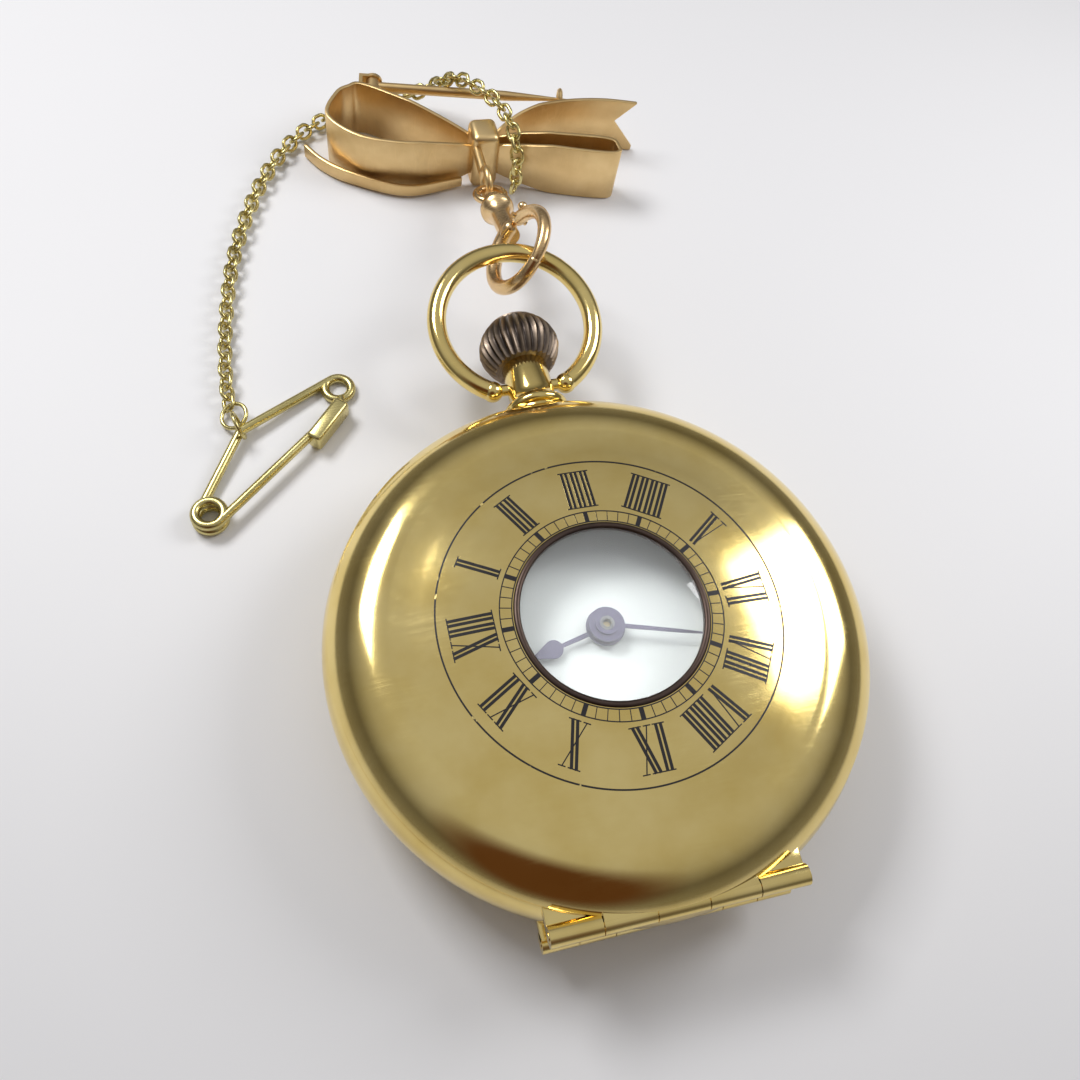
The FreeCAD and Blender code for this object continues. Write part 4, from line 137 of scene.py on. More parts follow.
class Recipe:
    """The node tree of one finish or of the room."""

    def __init__(self, name: str, store: Optional[bpy.types.bpy_prop_collection] = None) -> None:
        """Start an empty tree.

        Args:
            name: The name of the material or world.
            store: Where it is kept, among the materials if not given.
        """
        self.owner = (bpy.data.materials if store is None else store).new(name)
        self.owner.use_nodes = True
        self.tree = self.owner.node_tree
        self.tree.nodes.clear()

    def node(self, kind: str, settings: dict[str, object], inputs: dict[object, object],
             output: Union[int, str] = 0) -> Signal:
        """Add a node, set its options and then its sockets.

        Args:
            kind: The node's type.
            settings: Options of the node, set first; "stops" sets a ramp's stops.
            inputs: Values or signals by socket name or place.
            output: The socket that is handed on.

        Returns:
            The chosen output as a signal.
        """
        made = self.tree.nodes.new(kind)
        for option, value in settings.items():
            if option == "stops":
                set_stops(made, value)
            else:
                setattr(made, option, value)
        for place, value in inputs.items():
            socket = made.inputs[place]
            if isinstance(value, Signal):
                self.tree.links.new(value.socket, socket)
            elif isinstance(value, tuple) and len(value) == 3 and len(socket.default_value) == 4:
                socket.default_value = (*value, 1.0)
            else:
                socket.default_value = value
        return Signal(self, made.outputs[output])

    def place(self, turn: Point3 = (0, 0, 0), squeeze: Point3 = (1, 1, 1)) -> Signal:
        """Object coordinates in millimetres, turned and squeezed for a pattern."""
        scale = 1000.0
        coordinates = self.node("ShaderNodeTexCoord", {}, {}, "Object")
        spread = tuple(scale * s for s in squeeze)
        return self.node("ShaderNodeMapping", {}, {"Vector": coordinates, "Scale": spread, "Rotation": turn})

    def noise(self, where: Signal, scale: float, detail: float = 3.0, rough: float = 0.55) -> Signal:
        """Soft noise between 0 and 1."""
        return self.node("ShaderNodeTexNoise", {}, {"Vector": where, "Scale": scale, "Detail": detail,
                                                    "Roughness": rough}, "Fac")

    def ramp(self, signal: Signal, *stops: tuple[float, float]) -> Signal:
        """The signal through grey stops of (place, level)."""
        greys = [(place, (level,) * 3) for place, level in stops]
        return self.node("ShaderNodeValToRGB", {"stops": greys}, {"Fac": signal}, "Color")

    def blend(self, factor: Value, low: Tint, high: Tint) -> Signal:
        """A colour between two."""
        return self.node("ShaderNodeMix", {"data_type": "RGBA"}, {0: factor, 6: low, 7: high}, 2)

    def scratches(self, seed: float, length: float = 0.12, width: float = 9.0) -> Signal:
        """Fine lines in four directions, as wear leaves on polished metal."""
        lines: Optional[Signal] = None
        for step in range(4):
            where = self.place(turn=(0.0, 0.0, seed + step * 0.83), squeeze=(length, width, length))
            warp = self.noise(where, 1.0, 1.0, 0.4)
            line = self.ramp((warp - 0.5).absolute(), (0.0, 1.0), (0.012, 0.0))
            lines = line if lines is None else lines.most(line)
        patches = self.ramp(self.noise(self.place(), 0.35 + 0.01 * seed), (0.42, 0.0), (0.62, 1.0))
        return lines * patches

    def bump(self, height: Signal, strength: float, distance: float) -> Signal:
        """A normal tipped by a height."""
        return self.node("ShaderNodeBump", {}, {"Height": height, "Strength": strength,
                                                "Distance": distance * MM})

    def finish(self, shader: str = "ShaderNodeBsdfPrincipled", output: str = "ShaderNodeOutputMaterial",
               **sockets: object) -> bpy.types.ID:
        """Close the recipe with the shader's sockets.

        Args:
            shader: The shader's node type.
            output: The output's node type.
            sockets: Values or signals, with underscores for the spaces of the names.

        Returns:
            The finished material or world.
        """
        inputs = {name.replace("_", " "): value for name, value in sockets.items()}
        surface = self.node(shader, {}, inputs)
        end = self.tree.nodes.new(output)
        self.tree.links.new(surface.socket, end.inputs["Surface"])
        return self.owner


@dataclass(frozen=True)
class WornGold:
    """Polished gold with fine scratches and slightly darker, duller patches."""

    name: str
    colour: Colour
    shade: Colour
    polish: float = 0.13
    wear: float = 0.10
    seed: float = 0.3
    grain: float = 0.0

    def made(self) -> bpy.types.Material:
        """Build the material."""
        recipe = Recipe(self.name)
        lines = recipe.scratches(self.seed)
        cloud = recipe.noise(recipe.place(), 0.22, 4.0)
        fine = recipe.noise(recipe.place(), 6.0, 4.0)
        tint = recipe.blend(recipe.ramp(cloud, (0.35, 0.0), (0.7, 1.0)), self.colour, self.shade)
        tint = recipe.blend(lines * 0.18, tint, tuple(min(1.0, c * 1.25) for c in self.colour))
        rough = self.polish + lines * self.wear + cloud * 0.04 + fine * (0.02 + self.grain)
        height = lines * -0.25 + fine * (0.05 + self.grain * 3)
        return recipe.finish(Base_Color=tint, Metallic=1.0, Roughness=rough,
                             Normal=recipe.bump(height, 0.10, 0.006))


@dataclass(frozen=True)
class RibbedGold:
    """Gold darker in the hollows between its ribs, as on a crown."""

    name: str
    colour: Colour
    hollow_tint: Colour

    def made(self) -> bpy.types.Material:
        """Build the material."""
        recipe = Recipe(self.name)
        # A mask from pointiness, low in the hollows between the ribs and high on their crests; the hollows take
        # the darker colour.
        point = recipe.node("ShaderNodeNewGeometry", {}, {}, "Pointiness")
        worn = recipe.ramp(point, (0.47, 0.0), (0.54, 1.0))
        cloud = recipe.noise(recipe.place(), 1.2, 4.0)
        tint = recipe.blend((worn * (cloud + 0.35)).clamped(), self.hollow_tint, self.colour)
        return recipe.finish(Base_Color=tint, Metallic=1.0, Roughness=0.28 + cloud * 0.2,
                             Normal=recipe.bump(cloud, 0.4, 0.05))


@dataclass(frozen=True)
class Enamel:
    """Glossy fired enamel with a faint ripple and a few specks."""

    name: str
    colour: Colour
    speck: Colour

    def made(self) -> bpy.types.Material:
        """Build the material."""
        recipe = Recipe(self.name)
        ripple = recipe.noise(recipe.place(), 0.5, 2.0)
        specks = recipe.ramp(recipe.noise(recipe.place(), 4.5, 2.0), (0.74, 0.0), (0.78, 1.0))
        tint = recipe.blend(specks * 0.5, self.colour, self.speck)
        return recipe.finish(Base_Color=tint, Roughness=0.09 + ripple * 0.04, Coat_Weight=0.6,
                             Coat_Roughness=0.04, Normal=recipe.bump(ripple, 0.15, 0.08))


@dataclass(frozen=True)
class BlackEnamel:
    """Black enamel let into the gold, worn through in places."""

    name: str
    gold: Colour
    worn: float

    def made(self) -> bpy.types.Material:
        """Build the material."""
        recipe = Recipe(self.name)
        chips = recipe.noise(recipe.place(), 0.55, 6.0, 0.7)
        gone = recipe.ramp(chips, (1.0 - self.worn, 0.0), (1.03 - self.worn, 1.0))
        dull = recipe.noise(recipe.place(), 3.0)
        tint = recipe.blend(gone, (0.012, 0.010, 0.012), self.gold)
        return recipe.finish(Base_Color=tint, Metallic=gone, Roughness=0.22 + dull * 0.15)


@dataclass(frozen=True)
class ClearGlass:
    """Thin polished glass with a trace of dust."""

    name: str
    tint: Colour
    transmission: float = 0.96

    def made(self) -> bpy.types.Material:
        """Build the material."""
        recipe = Recipe(self.name)
        dust = recipe.noise(recipe.place(), 2.5, 5.0)
        return recipe.finish(Base_Color=self.tint, Roughness=recipe.ramp(dust, (0.4, 0.0), (0.8, 0.06)),
                             Transmission_Weight=self.transmission, IOR=1.45)


@dataclass(frozen=True)
class BrushedMetal:
    """Steel or brass with a fine grain and a soft shine."""

    name: str
    colour: Colour
    shade: Colour
    polish: float = 0.25
    grain: Point3 = (14.0, 0.6, 0.6)
    tarnish: float = 0.4

    def made(self) -> bpy.types.Material:
        """Build the material."""
        recipe = Recipe(self.name)
        brushed = recipe.noise(recipe.place(squeeze=self.grain), 1.0, 3.0)
        cloud = recipe.noise(recipe.place(), 0.6, 4.0)
        spots = recipe.ramp(cloud, (0.45, 0.0), (0.75, self.tarnish))
        tint = recipe.blend(spots, self.colour, self.shade)
        return recipe.finish(Base_Color=tint, Metallic=1.0, Roughness=self.polish + brushed * 0.15,
                             Normal=recipe.bump(brushed, 0.25, 0.015))


@dataclass(frozen=True)
class Frosted:
    """Gilt brass with a fine matt grain."""

    name: str
    colour: Colour
    shade: Colour

    def made(self) -> bpy.types.Material:
        """Build the material."""
        recipe = Recipe(self.name)
        grain = recipe.noise(recipe.place(), 22.0, 2.0)
        cloud = recipe.noise(recipe.place(), 0.4, 4.0)
        tint = recipe.blend(recipe.ramp(cloud, (0.4, 0.0), (0.75, 0.8)), self.colour, self.shade)
        return recipe.finish(Base_Color=tint, Metallic=1.0, Roughness=0.38 + grain * 0.2,
                             Normal=recipe.bump(grain, 0.5, 0.02))


INLAID_GOLD: Colour = (0.82, 0.66, 0.27)
ENAMEL_WHITE: Colour = (0.80, 0.82, 0.81)


class Finish(Enum):
    """The finishes of the watch and of what hangs on it."""

    CASE = WornGold("case_gold_polished", (0.91, 0.72, 0.30), (0.80, 0.60, 0.20), polish=0.09)
    INNER = WornGold("case_gold_inside", (0.88, 0.72, 0.32), (0.78, 0.61, 0.24), polish=0.18, seed=1.1)
    SWIVEL = WornGold("swivel_gold_red", (0.86, 0.62, 0.33), (0.70, 0.46, 0.22), polish=0.2, seed=0.7,
                      grain=0.05)
    BROOCH = WornGold("brooch_gold_satin", (0.84, 0.62, 0.31), (0.66, 0.45, 0.20), polish=0.27, seed=0.9,
                      grain=0.10)
    CHAIN = WornGold("chain_gold_green", (0.72, 0.62, 0.28), (0.50, 0.42, 0.17), polish=0.2, seed=1.7,
                     grain=0.05)
    CROWN = RibbedGold("crown_gold_dark", (0.30, 0.235, 0.18), (0.05, 0.04, 0.036))
    RIM = BrushedMetal("window_rim_bronze", (0.085, 0.060, 0.050), (0.030, 0.022, 0.020), polish=0.3)
    DIAL = Enamel("dial_enamel_white", ENAMEL_WHITE, (0.55, 0.55, 0.52))
    NUMERAL = BlackEnamel("numeral_enamel_black", INLAID_GOLD, 0.14)
    TRACK = BlackEnamel("track_enamel_black", INLAID_GOLD, 0.30)
    WORN_RING = BlackEnamel("ring_enamel_worn", INLAID_GOLD, 0.40)
    PRINT = BlackEnamel("dial_enamel_print", ENAMEL_WHITE, 0.05)
    GLASS = ClearGlass("watch_glass", (0.97, 0.985, 0.985))
    RUBY = ClearGlass("jewel_ruby", (0.70, 0.05, 0.13), 0.6)
    STEEL = BrushedMetal("movement_steel", (0.60, 0.61, 0.63), (0.42, 0.43, 0.46), polish=0.16)
    BLUED = BrushedMetal("blued_steel", (0.075, 0.055, 0.10), (0.16, 0.08, 0.12), polish=0.2)
    SCREW = BrushedMetal("screw_blue", (0.05, 0.08, 0.28), (0.10, 0.06, 0.22), polish=0.18)
    BOSS = BrushedMetal("boss_steel_grey", (0.36, 0.36, 0.37), (0.22, 0.22, 0.23), polish=0.22)
    GILT = Frosted("movement_gilt", (0.82, 0.68, 0.36), (0.66, 0.52, 0.26))
    WHEEL = BrushedMetal("wheel_brass", (0.80, 0.62, 0.30), (0.62, 0.46, 0.20), polish=0.18)

    def material(self) -> bpy.types.Material:
        """The finish's material, made when it is first asked for."""
        found = bpy.data.materials.get(self.value.name)
        return found if found is not None else self.value.made()


# ---------------------------------------------------------------- the bench


def bent(points: Sequence[Sequence[float]], closed: bool = True, step: float = 9.0) -> list[Point2]:
    """Turn an outline with bends into a plain one.

    Args:
        points: (x, y) points; a third entry bends the side that starts there, turning left if positive.
        closed: Whether the last point runs on to the first.
        step: Degrees of arc between two points.

    Returns:
        The outline's points.
    """
    path: list[Point2] = []
    for i, point in enumerate(points):
        path.append((point[0], point[1]))
        if len(point) < 3 or (not closed and i == len(points) - 1):
            continue
        end = points[(i + 1) % len(points)]
        dx, dy = end[0] - point[0], end[1] - point[1]
        chord = math.hypot(dx, dy)
        radius = abs(point[2])
        half = math.asin(min(1.0, chord / 2 / radius))
        count = max(2, math.ceil(math.degrees(half) * 2 / step))
        rise = math.sqrt(max(radius * radius - chord * chord / 4, 0.0))
        side = -math.copysign(1.0, point[2])
        for k in range(1, count):
            turn = half - 2 * half * k / count
            along = chord / 2 - radius * math.sin(turn)
            off = side * (radius * math.cos(turn) - rise)
            path.append((point[0] + dx / chord * along - dy / chord * off,
                         point[1] + dy / chord * along + dx / chord * off))
    return path


class Bench:
    """Modelling steps, each done with the usual operators."""

    @staticmethod
    def clear() -> None:
        """Leave edit mode and deselect everything."""
        if bpy.context.object is not None and bpy.context.object.mode != "OBJECT":
            bpy.ops.object.mode_set(mode="OBJECT")
        bpy.ops.object.select_all(action="DESELECT")

    @staticmethod
    def pick(*objects: Piece) -> None:
        """Select these objects, the first one active."""
        Bench.clear()
        for item in objects:
            item.select_set(True)
        bpy.context.view_layer.objects.active = objects[0]

    @staticmethod
    @contextmanager
    def editing() -> Iterator[None]:
        """Edit mode for the steps inside."""
        bpy.ops.object.mode_set(mode="EDIT")
        yield
        bpy.ops.object.mode_set(mode="OBJECT")

    @staticmethod
    def add(name: str, operator: Callable[..., object], **options: object) -> Piece:
        """Add a primitive under a name."""
        Bench.clear()
        operator(**options)
        made = bpy.context.object
        made.name = name
        return made

    @staticmethod
    def modify(piece: Piece, kind: str, **settings: object) -> None:
        """Give a piece a modifier and apply it."""
        Bench.pick(piece)
        made = piece.modifiers.new(kind.lower(), kind)
        for option, value in settings.items():
            setattr(made, option, value)
        bpy.ops.object.modifier_apply(modifier=made.name)

    @staticmethod
    def trace(name: str, points: Sequence[Point3], closed: bool = False) -> Piece:
        """Draw a line of edges by extruding one point from place to place."""
        line = Bench.add(name, bpy.ops.mesh.primitive_plane_add, size=2 * MM, location=(0, 0, 0))
        with Bench.editing():
            bpy.ops.mesh.merge(type="CENTER")
            bpy.ops.transform.translate(value=Vector(points[0]) * MM)
            for here, there in zip(points, points[1:]):
                move = (Vector(there) - Vector(here)) * MM
                bpy.ops.mesh.extrude_region_move(TRANSFORM_OT_translate={"value": move})
            if closed:
                bpy.ops.mesh.select_all(action="DESELECT")
        if closed:
            line.data.vertices[0].select = True
            line.data.vertices[-1].select = True
            with Bench.editing():
                bpy.ops.mesh.edge_face_add()
        return line

    @staticmethod
    def lathe(name: str, outline: Sequence[Point2], steps: int, closed: bool = True) -> Piece:
        """Spin a (radius, height) outline about the upright axis."""
        line = Bench.trace(name, [(r, 0.0, z) for r, z in outline], closed)
        with Bench.editing():
            bpy.ops.mesh.select_all(action="SELECT")
            bpy.ops.mesh.spin(steps=steps, angle=2 * math.pi, center=(0, 0, 0), axis=(0, 0, 1))
        Bench.tidy(line, 1e-6)
        return line

    @staticmethod
    def wire(name: str, points: Sequence[Sequence[float]], radius: float, sides: int, closed: bool = False,
             radii: Optional[Sequence[float]] = None) -> Piece:
        """A round wire along a line of points, with filled ends."""
        line = Bench.trace(name, [tuple(p) for p in points], closed)
        bpy.ops.object.convert(target="CURVE")
        line = bpy.context.object
        line.data.bevel_depth = radius * MM
        line.data.bevel_resolution = sides
        line.data.use_fill_caps = not closed
        if radii is not None:
            spline = line.data.splines[0]
            start_first = (spline.points[0].co.to_3d() - Vector(points[0]) * MM).length < 1e-6
            widths = list(radii) if start_first else list(reversed(radii))
            for point, width in zip(spline.points, widths):
                point.radius = width / radius
        bpy.ops.object.convert(target="MESH")
        line = bpy.context.object
        Bench.tidy(line)
        return line

    @staticmethod
    def tidy(piece: Piece, threshold: float = 1e-7) -> None:
        """Merge doubles and point the faces outwards."""
        Bench.pick(piece)
        with Bench.editing():
            bpy.ops.mesh.select_all(action="SELECT")
            bpy.ops.mesh.remove_doubles(threshold=threshold)
            bpy.ops.mesh.normals_make_consistent(inside=False)

    @staticmethod
    def ball(name: str, centre: Sequence[float], radius: float) -> Piece:
        """A small ball."""
        return Bench.add(name, bpy.ops.mesh.primitive_uv_sphere_add, segments=28, ring_count=18,
                         radius=radius * MM, location=Vector(centre) * MM)

    @staticmethod
    def rod(name: str, start: Sequence[float], end: Sequence[float], radius: float) -> Piece:
        """A round bar between two points."""
        way = Vector(end) - Vector(start)
        return Bench.add(name, bpy.ops.mesh.primitive_cylinder_add, vertices=36, radius=radius * MM,
                         depth=way.length * MM, location=(Vector(start) + Vector(end)) / 2 * MM,
                         rotation=way.to_track_quat("Z", "Y").to_euler())

    @staticmethod
    def block(name: str, size: Point3, centre: Sequence[float], bevel: float,
              segments: int = 3) -> Piece:
        """A block with rounded edges."""
        made = Bench.add(name, bpy.ops.mesh.primitive_cube_add, size=MM, location=Vector(centre) * MM)
        with Bench.editing():
            bpy.ops.transform.resize(value=size, center_override=Vector(centre) * MM)
            bpy.ops.mesh.bevel(offset=bevel * MM, segments=segments, affect="EDGES")
        return made

    @staticmethod
    def ring(name: str, centre: Sequence[float], radius: float, wire: float,
             turn: Point3 = (0, 0, 0)) -> Piece:
        """A closed ring of round wire."""
        return Bench.add(name, bpy.ops.mesh.primitive_torus_add, major_radius=radius * MM,
                         minor_radius=wire * MM, major_segments=48, minor_segments=18, rotation=turn,
                         location=Vector(centre) * MM)

    @staticmethod
    def settle(piece: Piece, matrix: Optional[Matrix] = None) -> None:
        """Put a piece in its place and leave its object unturned at the origin."""
        if matrix is not None:
            piece.matrix_world = matrix @ piece.matrix_world
        Bench.pick(piece)
        bpy.ops.object.transform_apply(location=True, rotation=True, scale=True)

    @staticmethod
    def join(name: str, pieces: Sequence[Piece]) -> Piece:
        """Several pieces made one object."""
        for piece in pieces:
            Bench.settle(piece)
        Bench.pick(*pieces)
        bpy.ops.object.join()
        made = bpy.context.object
        made.name = name
        made.data.name = name
        return made

    @staticmethod
    def lay_on_y(height: float) -> Matrix:
        """The turn that lays an upright lathe work along Y at a height."""
        return Matrix.Translation((0, 0, height * MM)) @ Matrix.Rotation(math.radians(-90), 4, "X")


def show(piece: Piece, name: str, body: str, finish: Finish,
         instead_of: Iterable[str] = (), angle: float = 32.0, where: Optional[Matrix] = None) -> Piece:
    """Dress a finished piece and hand it to the frame.

    Args:
        piece: The piece's object.
        name: Its name in the table.
        body: The CAD body on which it rides.
        finish: Its finish.
        instead_of: CAD nodes that it replaces.
        angle: Edges sharper than this stay sharp.
        where: The place of a piece made about the origin.

    Returns:
        The piece.
    """
    piece.name = name
    piece.data.name = name
    Bench.settle(piece, where)
    bpy.ops.object.shade_smooth_by_angle(angle=math.radians(angle))
    piece.data.materials.clear()
    piece.data.materials.append(finish.material())
    for face in piece.data.polygons:
        face.material_index = 0
    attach(piece, body)
    if instead_of:
        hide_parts(*instead_of)
    LOG.info("%s: %d faces on %s", name, len(piece.data.polygons), body)
    return piece


# ---------------------------------------------------------------- view and room


@dataclass
class ViewPoint:
    """The camera, low over the hinge end of the watch."""

    place: Point3 = (-15.666, -19.735, 62.32)
    right: Point3 = (0.96573, -0.23031, 0.11968)
    down: Point3 = (-0.15365, -0.87893, -0.45152)
    forward: Point3 = (0.20918, 0.41765, -0.8842)
    focal_pixels: float = 1000.0
    frame_pixels: float = 1080.0

    def build(self) -> None:
        """Add the camera."""
        Bench.clear()
        bpy.ops.object.camera_add()
        camera = bpy.context.object
        camera.data.sensor_width = 36.0
        camera.data.sensor_fit = "HORIZONTAL"
        camera.data.lens = 36.0 * self.focal_pixels / self.frame_pixels
        camera.data.clip_start = 0.001
        turn = Matrix((self.right, [-c for c in self.down], [-c for c in self.forward])).transposed()
        camera.matrix_world = Matrix.Translation(Vector(self.place) * MM) @ turn.to_4x4()
        bpy.context.scene.camera = camera


@dataclass
class Studio:
    """The pale table and plain soft light."""

    table: Colour = (0.83, 0.83, 0.85)
    span: float = 600.0
    clearance: float = 0.02
    lamps: tuple[tuple[str, Point3, Point2, float], ...] = (
        ("window_light", (-70, 95, 130), (70, 50), 0.155),
        ("room_light", (95, 30, 90), (50, 60), 0.06))
    walls: tuple[tuple[float, Colour], ...] = (
        (0.0, (0.34, 0.33, 0.32)), (0.35, (0.20, 0.19, 0.18)), (0.7, (0.62, 0.62, 0.63)),
        (1.0, (0.80, 0.80, 0.80)))
    patch: Colour = (0.16, 0.07, 0.03)
    patch_way: Point3 = (-0.30, -0.80, 0.52)
    patch_edge: tuple[Point2, Point2] = ((0.80, 0.0), (0.93, 1.0))
    glow: float = 0.62

    def build(self) -> None:
        """Add the table, the lamps and the world."""
        table = Bench.add("table", bpy.ops.mesh.primitive_plane_add, size=self.span * MM,
                          location=(0, 0, -self.clearance * MM))
        recipe = Recipe("table_white")
        cloud = recipe.noise(recipe.place(), 0.03, 3.0)
        tint = recipe.blend(cloud, tuple(c * 0.97 for c in self.table), self.table)
        table.data.materials.append(recipe.finish(Base_Color=tint, Roughness=0.55))
        for lamp in self.lamps:
            self.lamp(*lamp)
        self.world()
        bpy.context.scene.view_settings.view_transform = "Standard"

    def lamp(self, name: str, place: Point3, size: Point2, power: float) -> None:
        """Add a soft lamp that looks at the watch."""
        bpy.ops.object.light_add(type="AREA", location=Vector(place) * MM)
        lamp = bpy.context.object
        lamp.name = name
        lamp.data.shape = "RECTANGLE"
        lamp.data.size, lamp.data.size_y = size[0] * MM, size[1] * MM
        lamp.data.energy = power
        aim = Vector((0, 5 * MM, 5 * MM)) - lamp.location
        lamp.rotation_euler = aim.to_track_quat("-Z", "Y").to_euler()

    def world(self) -> None:
        """A soft room, lighter above than at its sides, with a warm dark patch past the hinge end."""
        recipe = Recipe("room", bpy.data.worlds)
        view = recipe.node("ShaderNodeTexCoord", {}, {}, "Generated")
        height = recipe.node("ShaderNodeSeparateXYZ", {}, {0: view}, "Z")
        walls = recipe.node("ShaderNodeValToRGB", {"stops": self.walls}, {0: height})
        facing = recipe.node("ShaderNodeVectorMath", {"operation": "DOT_PRODUCT"}, {0: view, 1: self.patch_way},
                             "Value")
        colour = recipe.blend(recipe.ramp(facing, *self.patch_edge), walls, self.patch)
        bpy.context.scene.world = recipe.finish("ShaderNodeBackground", "ShaderNodeOutputWorld", Color=colour,
                                                Strength=self.glow)


# ---------------------------------------------------------------- the case

STEM_Z = 4.8
JOINT_Y = -16.25
JOINT_LENGTH = 15.0
KNUCKLE = 0.6
FRONT_JOINT_Z = 6.525
BACK_JOINT_Z = 3.075
DOME = 45.0
WINDOW = 5.85
SHOULDER = 12.9
EDGE = 16.5
INNER_EDGE = 16.05
BORE = 14.6
LEDGE = 13.95
BAND_LOW, BAND_HIGH = 3.1, 6.5


def joint_leaf(name: str, count: int, which: Sequence[int], height: float, web: float,
               rise: int) -> list[Piece]:
    """The knuckles of one leaf of a joint, each with its web to the case."""
    step, play, edge = JOINT_LENGTH / count, 0.03, 0.06
    pieces = []
    for i in which:
        middle, half = -JOINT_LENGTH / 2 + step * (i + 0.5), step / 2 - play
        ends = [(x, JOINT_Y, height) for x in (middle - half, middle + half)]
        pieces.append(Bench.rod(f"{name}_{i}", *ends, KNUCKLE))
        pieces.append(Bench.block(f"{name}_web_{i}", (half * 2, web, KNUCKLE),
                                  (middle, JOINT_Y + web / 2, height + rise * KNUCKLE / 2), edge))
    return pieces


def build_band() -> None:
    """The middle of the case with its bulged edge, its neck and its share of both joints."""
    half, sag, edge = (BAND_HIGH - BAND_LOW) / 2, 0.5, 0.05
    bulge = (half * half + sag * sag) / (2 * sag)
    ring = Bench.lathe("band_ring", bent([
        (BORE, BAND_LOW), (EDGE - edge, BAND_LOW), (EDGE, BAND_LOW + edge, bulge), (EDGE, BAND_HIGH - edge),
        (EDGE - edge, BAND_HIGH), (BORE, BAND_HIGH), (BORE, 5.0), (LEDGE, 5.0), (LEDGE, 4.4),
        (BORE, 4.4)]), 180)
    neck = Bench.lathe("neck", bent([
        (0, 15.2), (1.92, 15.2), (1.92, 16.85), (2.15, 16.95, 0.35), (2.15, 17.5), (1.85, 17.7, -1.4),
        (1.62, 18.5), (1.62, 20.95), (1.5, 21.2), (0, 21.2)]), 64)
    neck.matrix_world = Bench.lay_on_y(STEM_Z)
    leaves = joint_leaf("band_front_knuckle", 5, (0, 2, 4), FRONT_JOINT_Z, 2.0, -1)
    leaves += joint_leaf("band_back_knuckle", 7, (0, 3, 6), BACK_JOINT_Z, 2.0, 1)
    show(Bench.join("band", [ring, neck, *leaves]), "case_middle_with_neck", "case", Finish.CASE,
         ["case_band"])


def build_front_cover() -> Piece:
    """The front cover, domed from the window to its shoulder."""
    shell = Bench.lathe("front_shell", bent([
        (INNER_EDGE, 6.55), (16.46, 6.55), (EDGE, 6.6), (EDGE, 6.95, 4.2), (SHOULDER, 8.75, DOME),
        (WINDOW, 9.45), (WINDOW, 9.0, 0.45 - DOME), (12.75, 8.3, -3.75), (INNER_EDGE, 6.95)], step=2.5), 200)
    leaf = joint_leaf("front_knuckle", 5, (1, 3), FRONT_JOINT_Z, 0.8, 1)
    return show(Bench.join("front", [shell, *leaf]), "front_cover_shell", "front", Finish.CASE,
                ["front_cover"])


def build_back_cover() -> None:
    """The plain back cover, which carries the watch on its flat."""
    shell = Bench.lathe("back_shell", bent([
        (0, 0), (9, 0, 22), (13.2, 0.5, 4.2), (EDGE, 2.65), (EDGE, 3.0), (16.46, 3.05), (INNER_EDGE, 3.05),
        (INNER_EDGE, 2.65, -3.75), (13.05, 0.95, -21.55), (9, 0.45), (0, 0.45)], step=4), 180)
    leaf = joint_leaf("back_knuckle", 7, (1, 5), BACK_JOINT_Z, 0.8, -1)
    show(Bench.join("back", [shell, *leaf]), "back_cover_shell", "back", Finish.CASE, ["back_cover"])


def build_window() -> None:
    """The dark rim of the window and its low glass."""
    rim = Bench.lathe("rim", bent([(5.45, 9.1), (5.85, 9.1), (5.85, 9.46), (5.8, 9.52, 0.25), (5.5, 9.52),
                                   (5.45, 9.46)]), 128)
    show(rim, "window_rim_ring", "front", Finish.RIM, ["window_rim"])
    rise, reach = 0.3, 5.5
    bend = (reach * reach + rise * rise) / (2 * rise)
    low, high = 9.25, 9.38
    glass = Bench.lathe("glass", bent([(reach, low), (reach, high, bend), (0.0, high + rise),
                                       (0.0, low + rise, -bend)], step=1.2), 96)
    show(glass, "window_glass_dome", "front", Finish.GLASS, ["window_glass"]).visible_shadow = False


class Inlay:
    """Thin enamel lines laid on a surface."""

    HEIGHT = 20.0
    STEP = 0.45

    def __init__(self, name: str, surface: Piece) -> None:
        """Start an empty inlay over a surface."""
        self.name = name
        self.surface = surface
        self.pieces: list[Piece] = []

    def bar(self, start: Vector, end: Vector, width: float) -> None:
        """A straight bar between two points of the plan."""
        way, middle = end - start, (start + end) / 2
        made = Bench.add("bar", bpy.ops.mesh.primitive_grid_add, size=MM, y_subdivisions=1,
                         x_subdivisions=max(1, math.ceil(way.length / self.STEP)),
                         location=(middle.x * MM, middle.y * MM, self.HEIGHT * MM),
                         rotation=(0, 0, math.atan2(way.y, way.x)))
        made.scale = (way.length, width, 1)
        self.pieces.append(made)

    def ring(self, radius: float, width: float) -> None:
        """A ring about the dial's axis."""
        outline = [(radius + side * width / 2, self.HEIGHT) for side in (-1, 1)]
        self.pieces.append(Bench.lathe("line", outline, 180, closed=False))

    def lay(self, lift: float = 0.008, thickness: float = 0.016) -> Piece:
        """Join the lines and drop them on the surface."""
        piece = Bench.join(self.name, self.pieces)
        Bench.modify(piece, "SHRINKWRAP", wrap_method="PROJECT", use_project_z=True,
                     use_positive_direction=False, use_negative_direction=True, target=self.surface,
                     offset=lift * MM)
        Bench.modify(piece, "SOLIDIFY", thickness=thickness * MM, offset=0.0)
        return piece


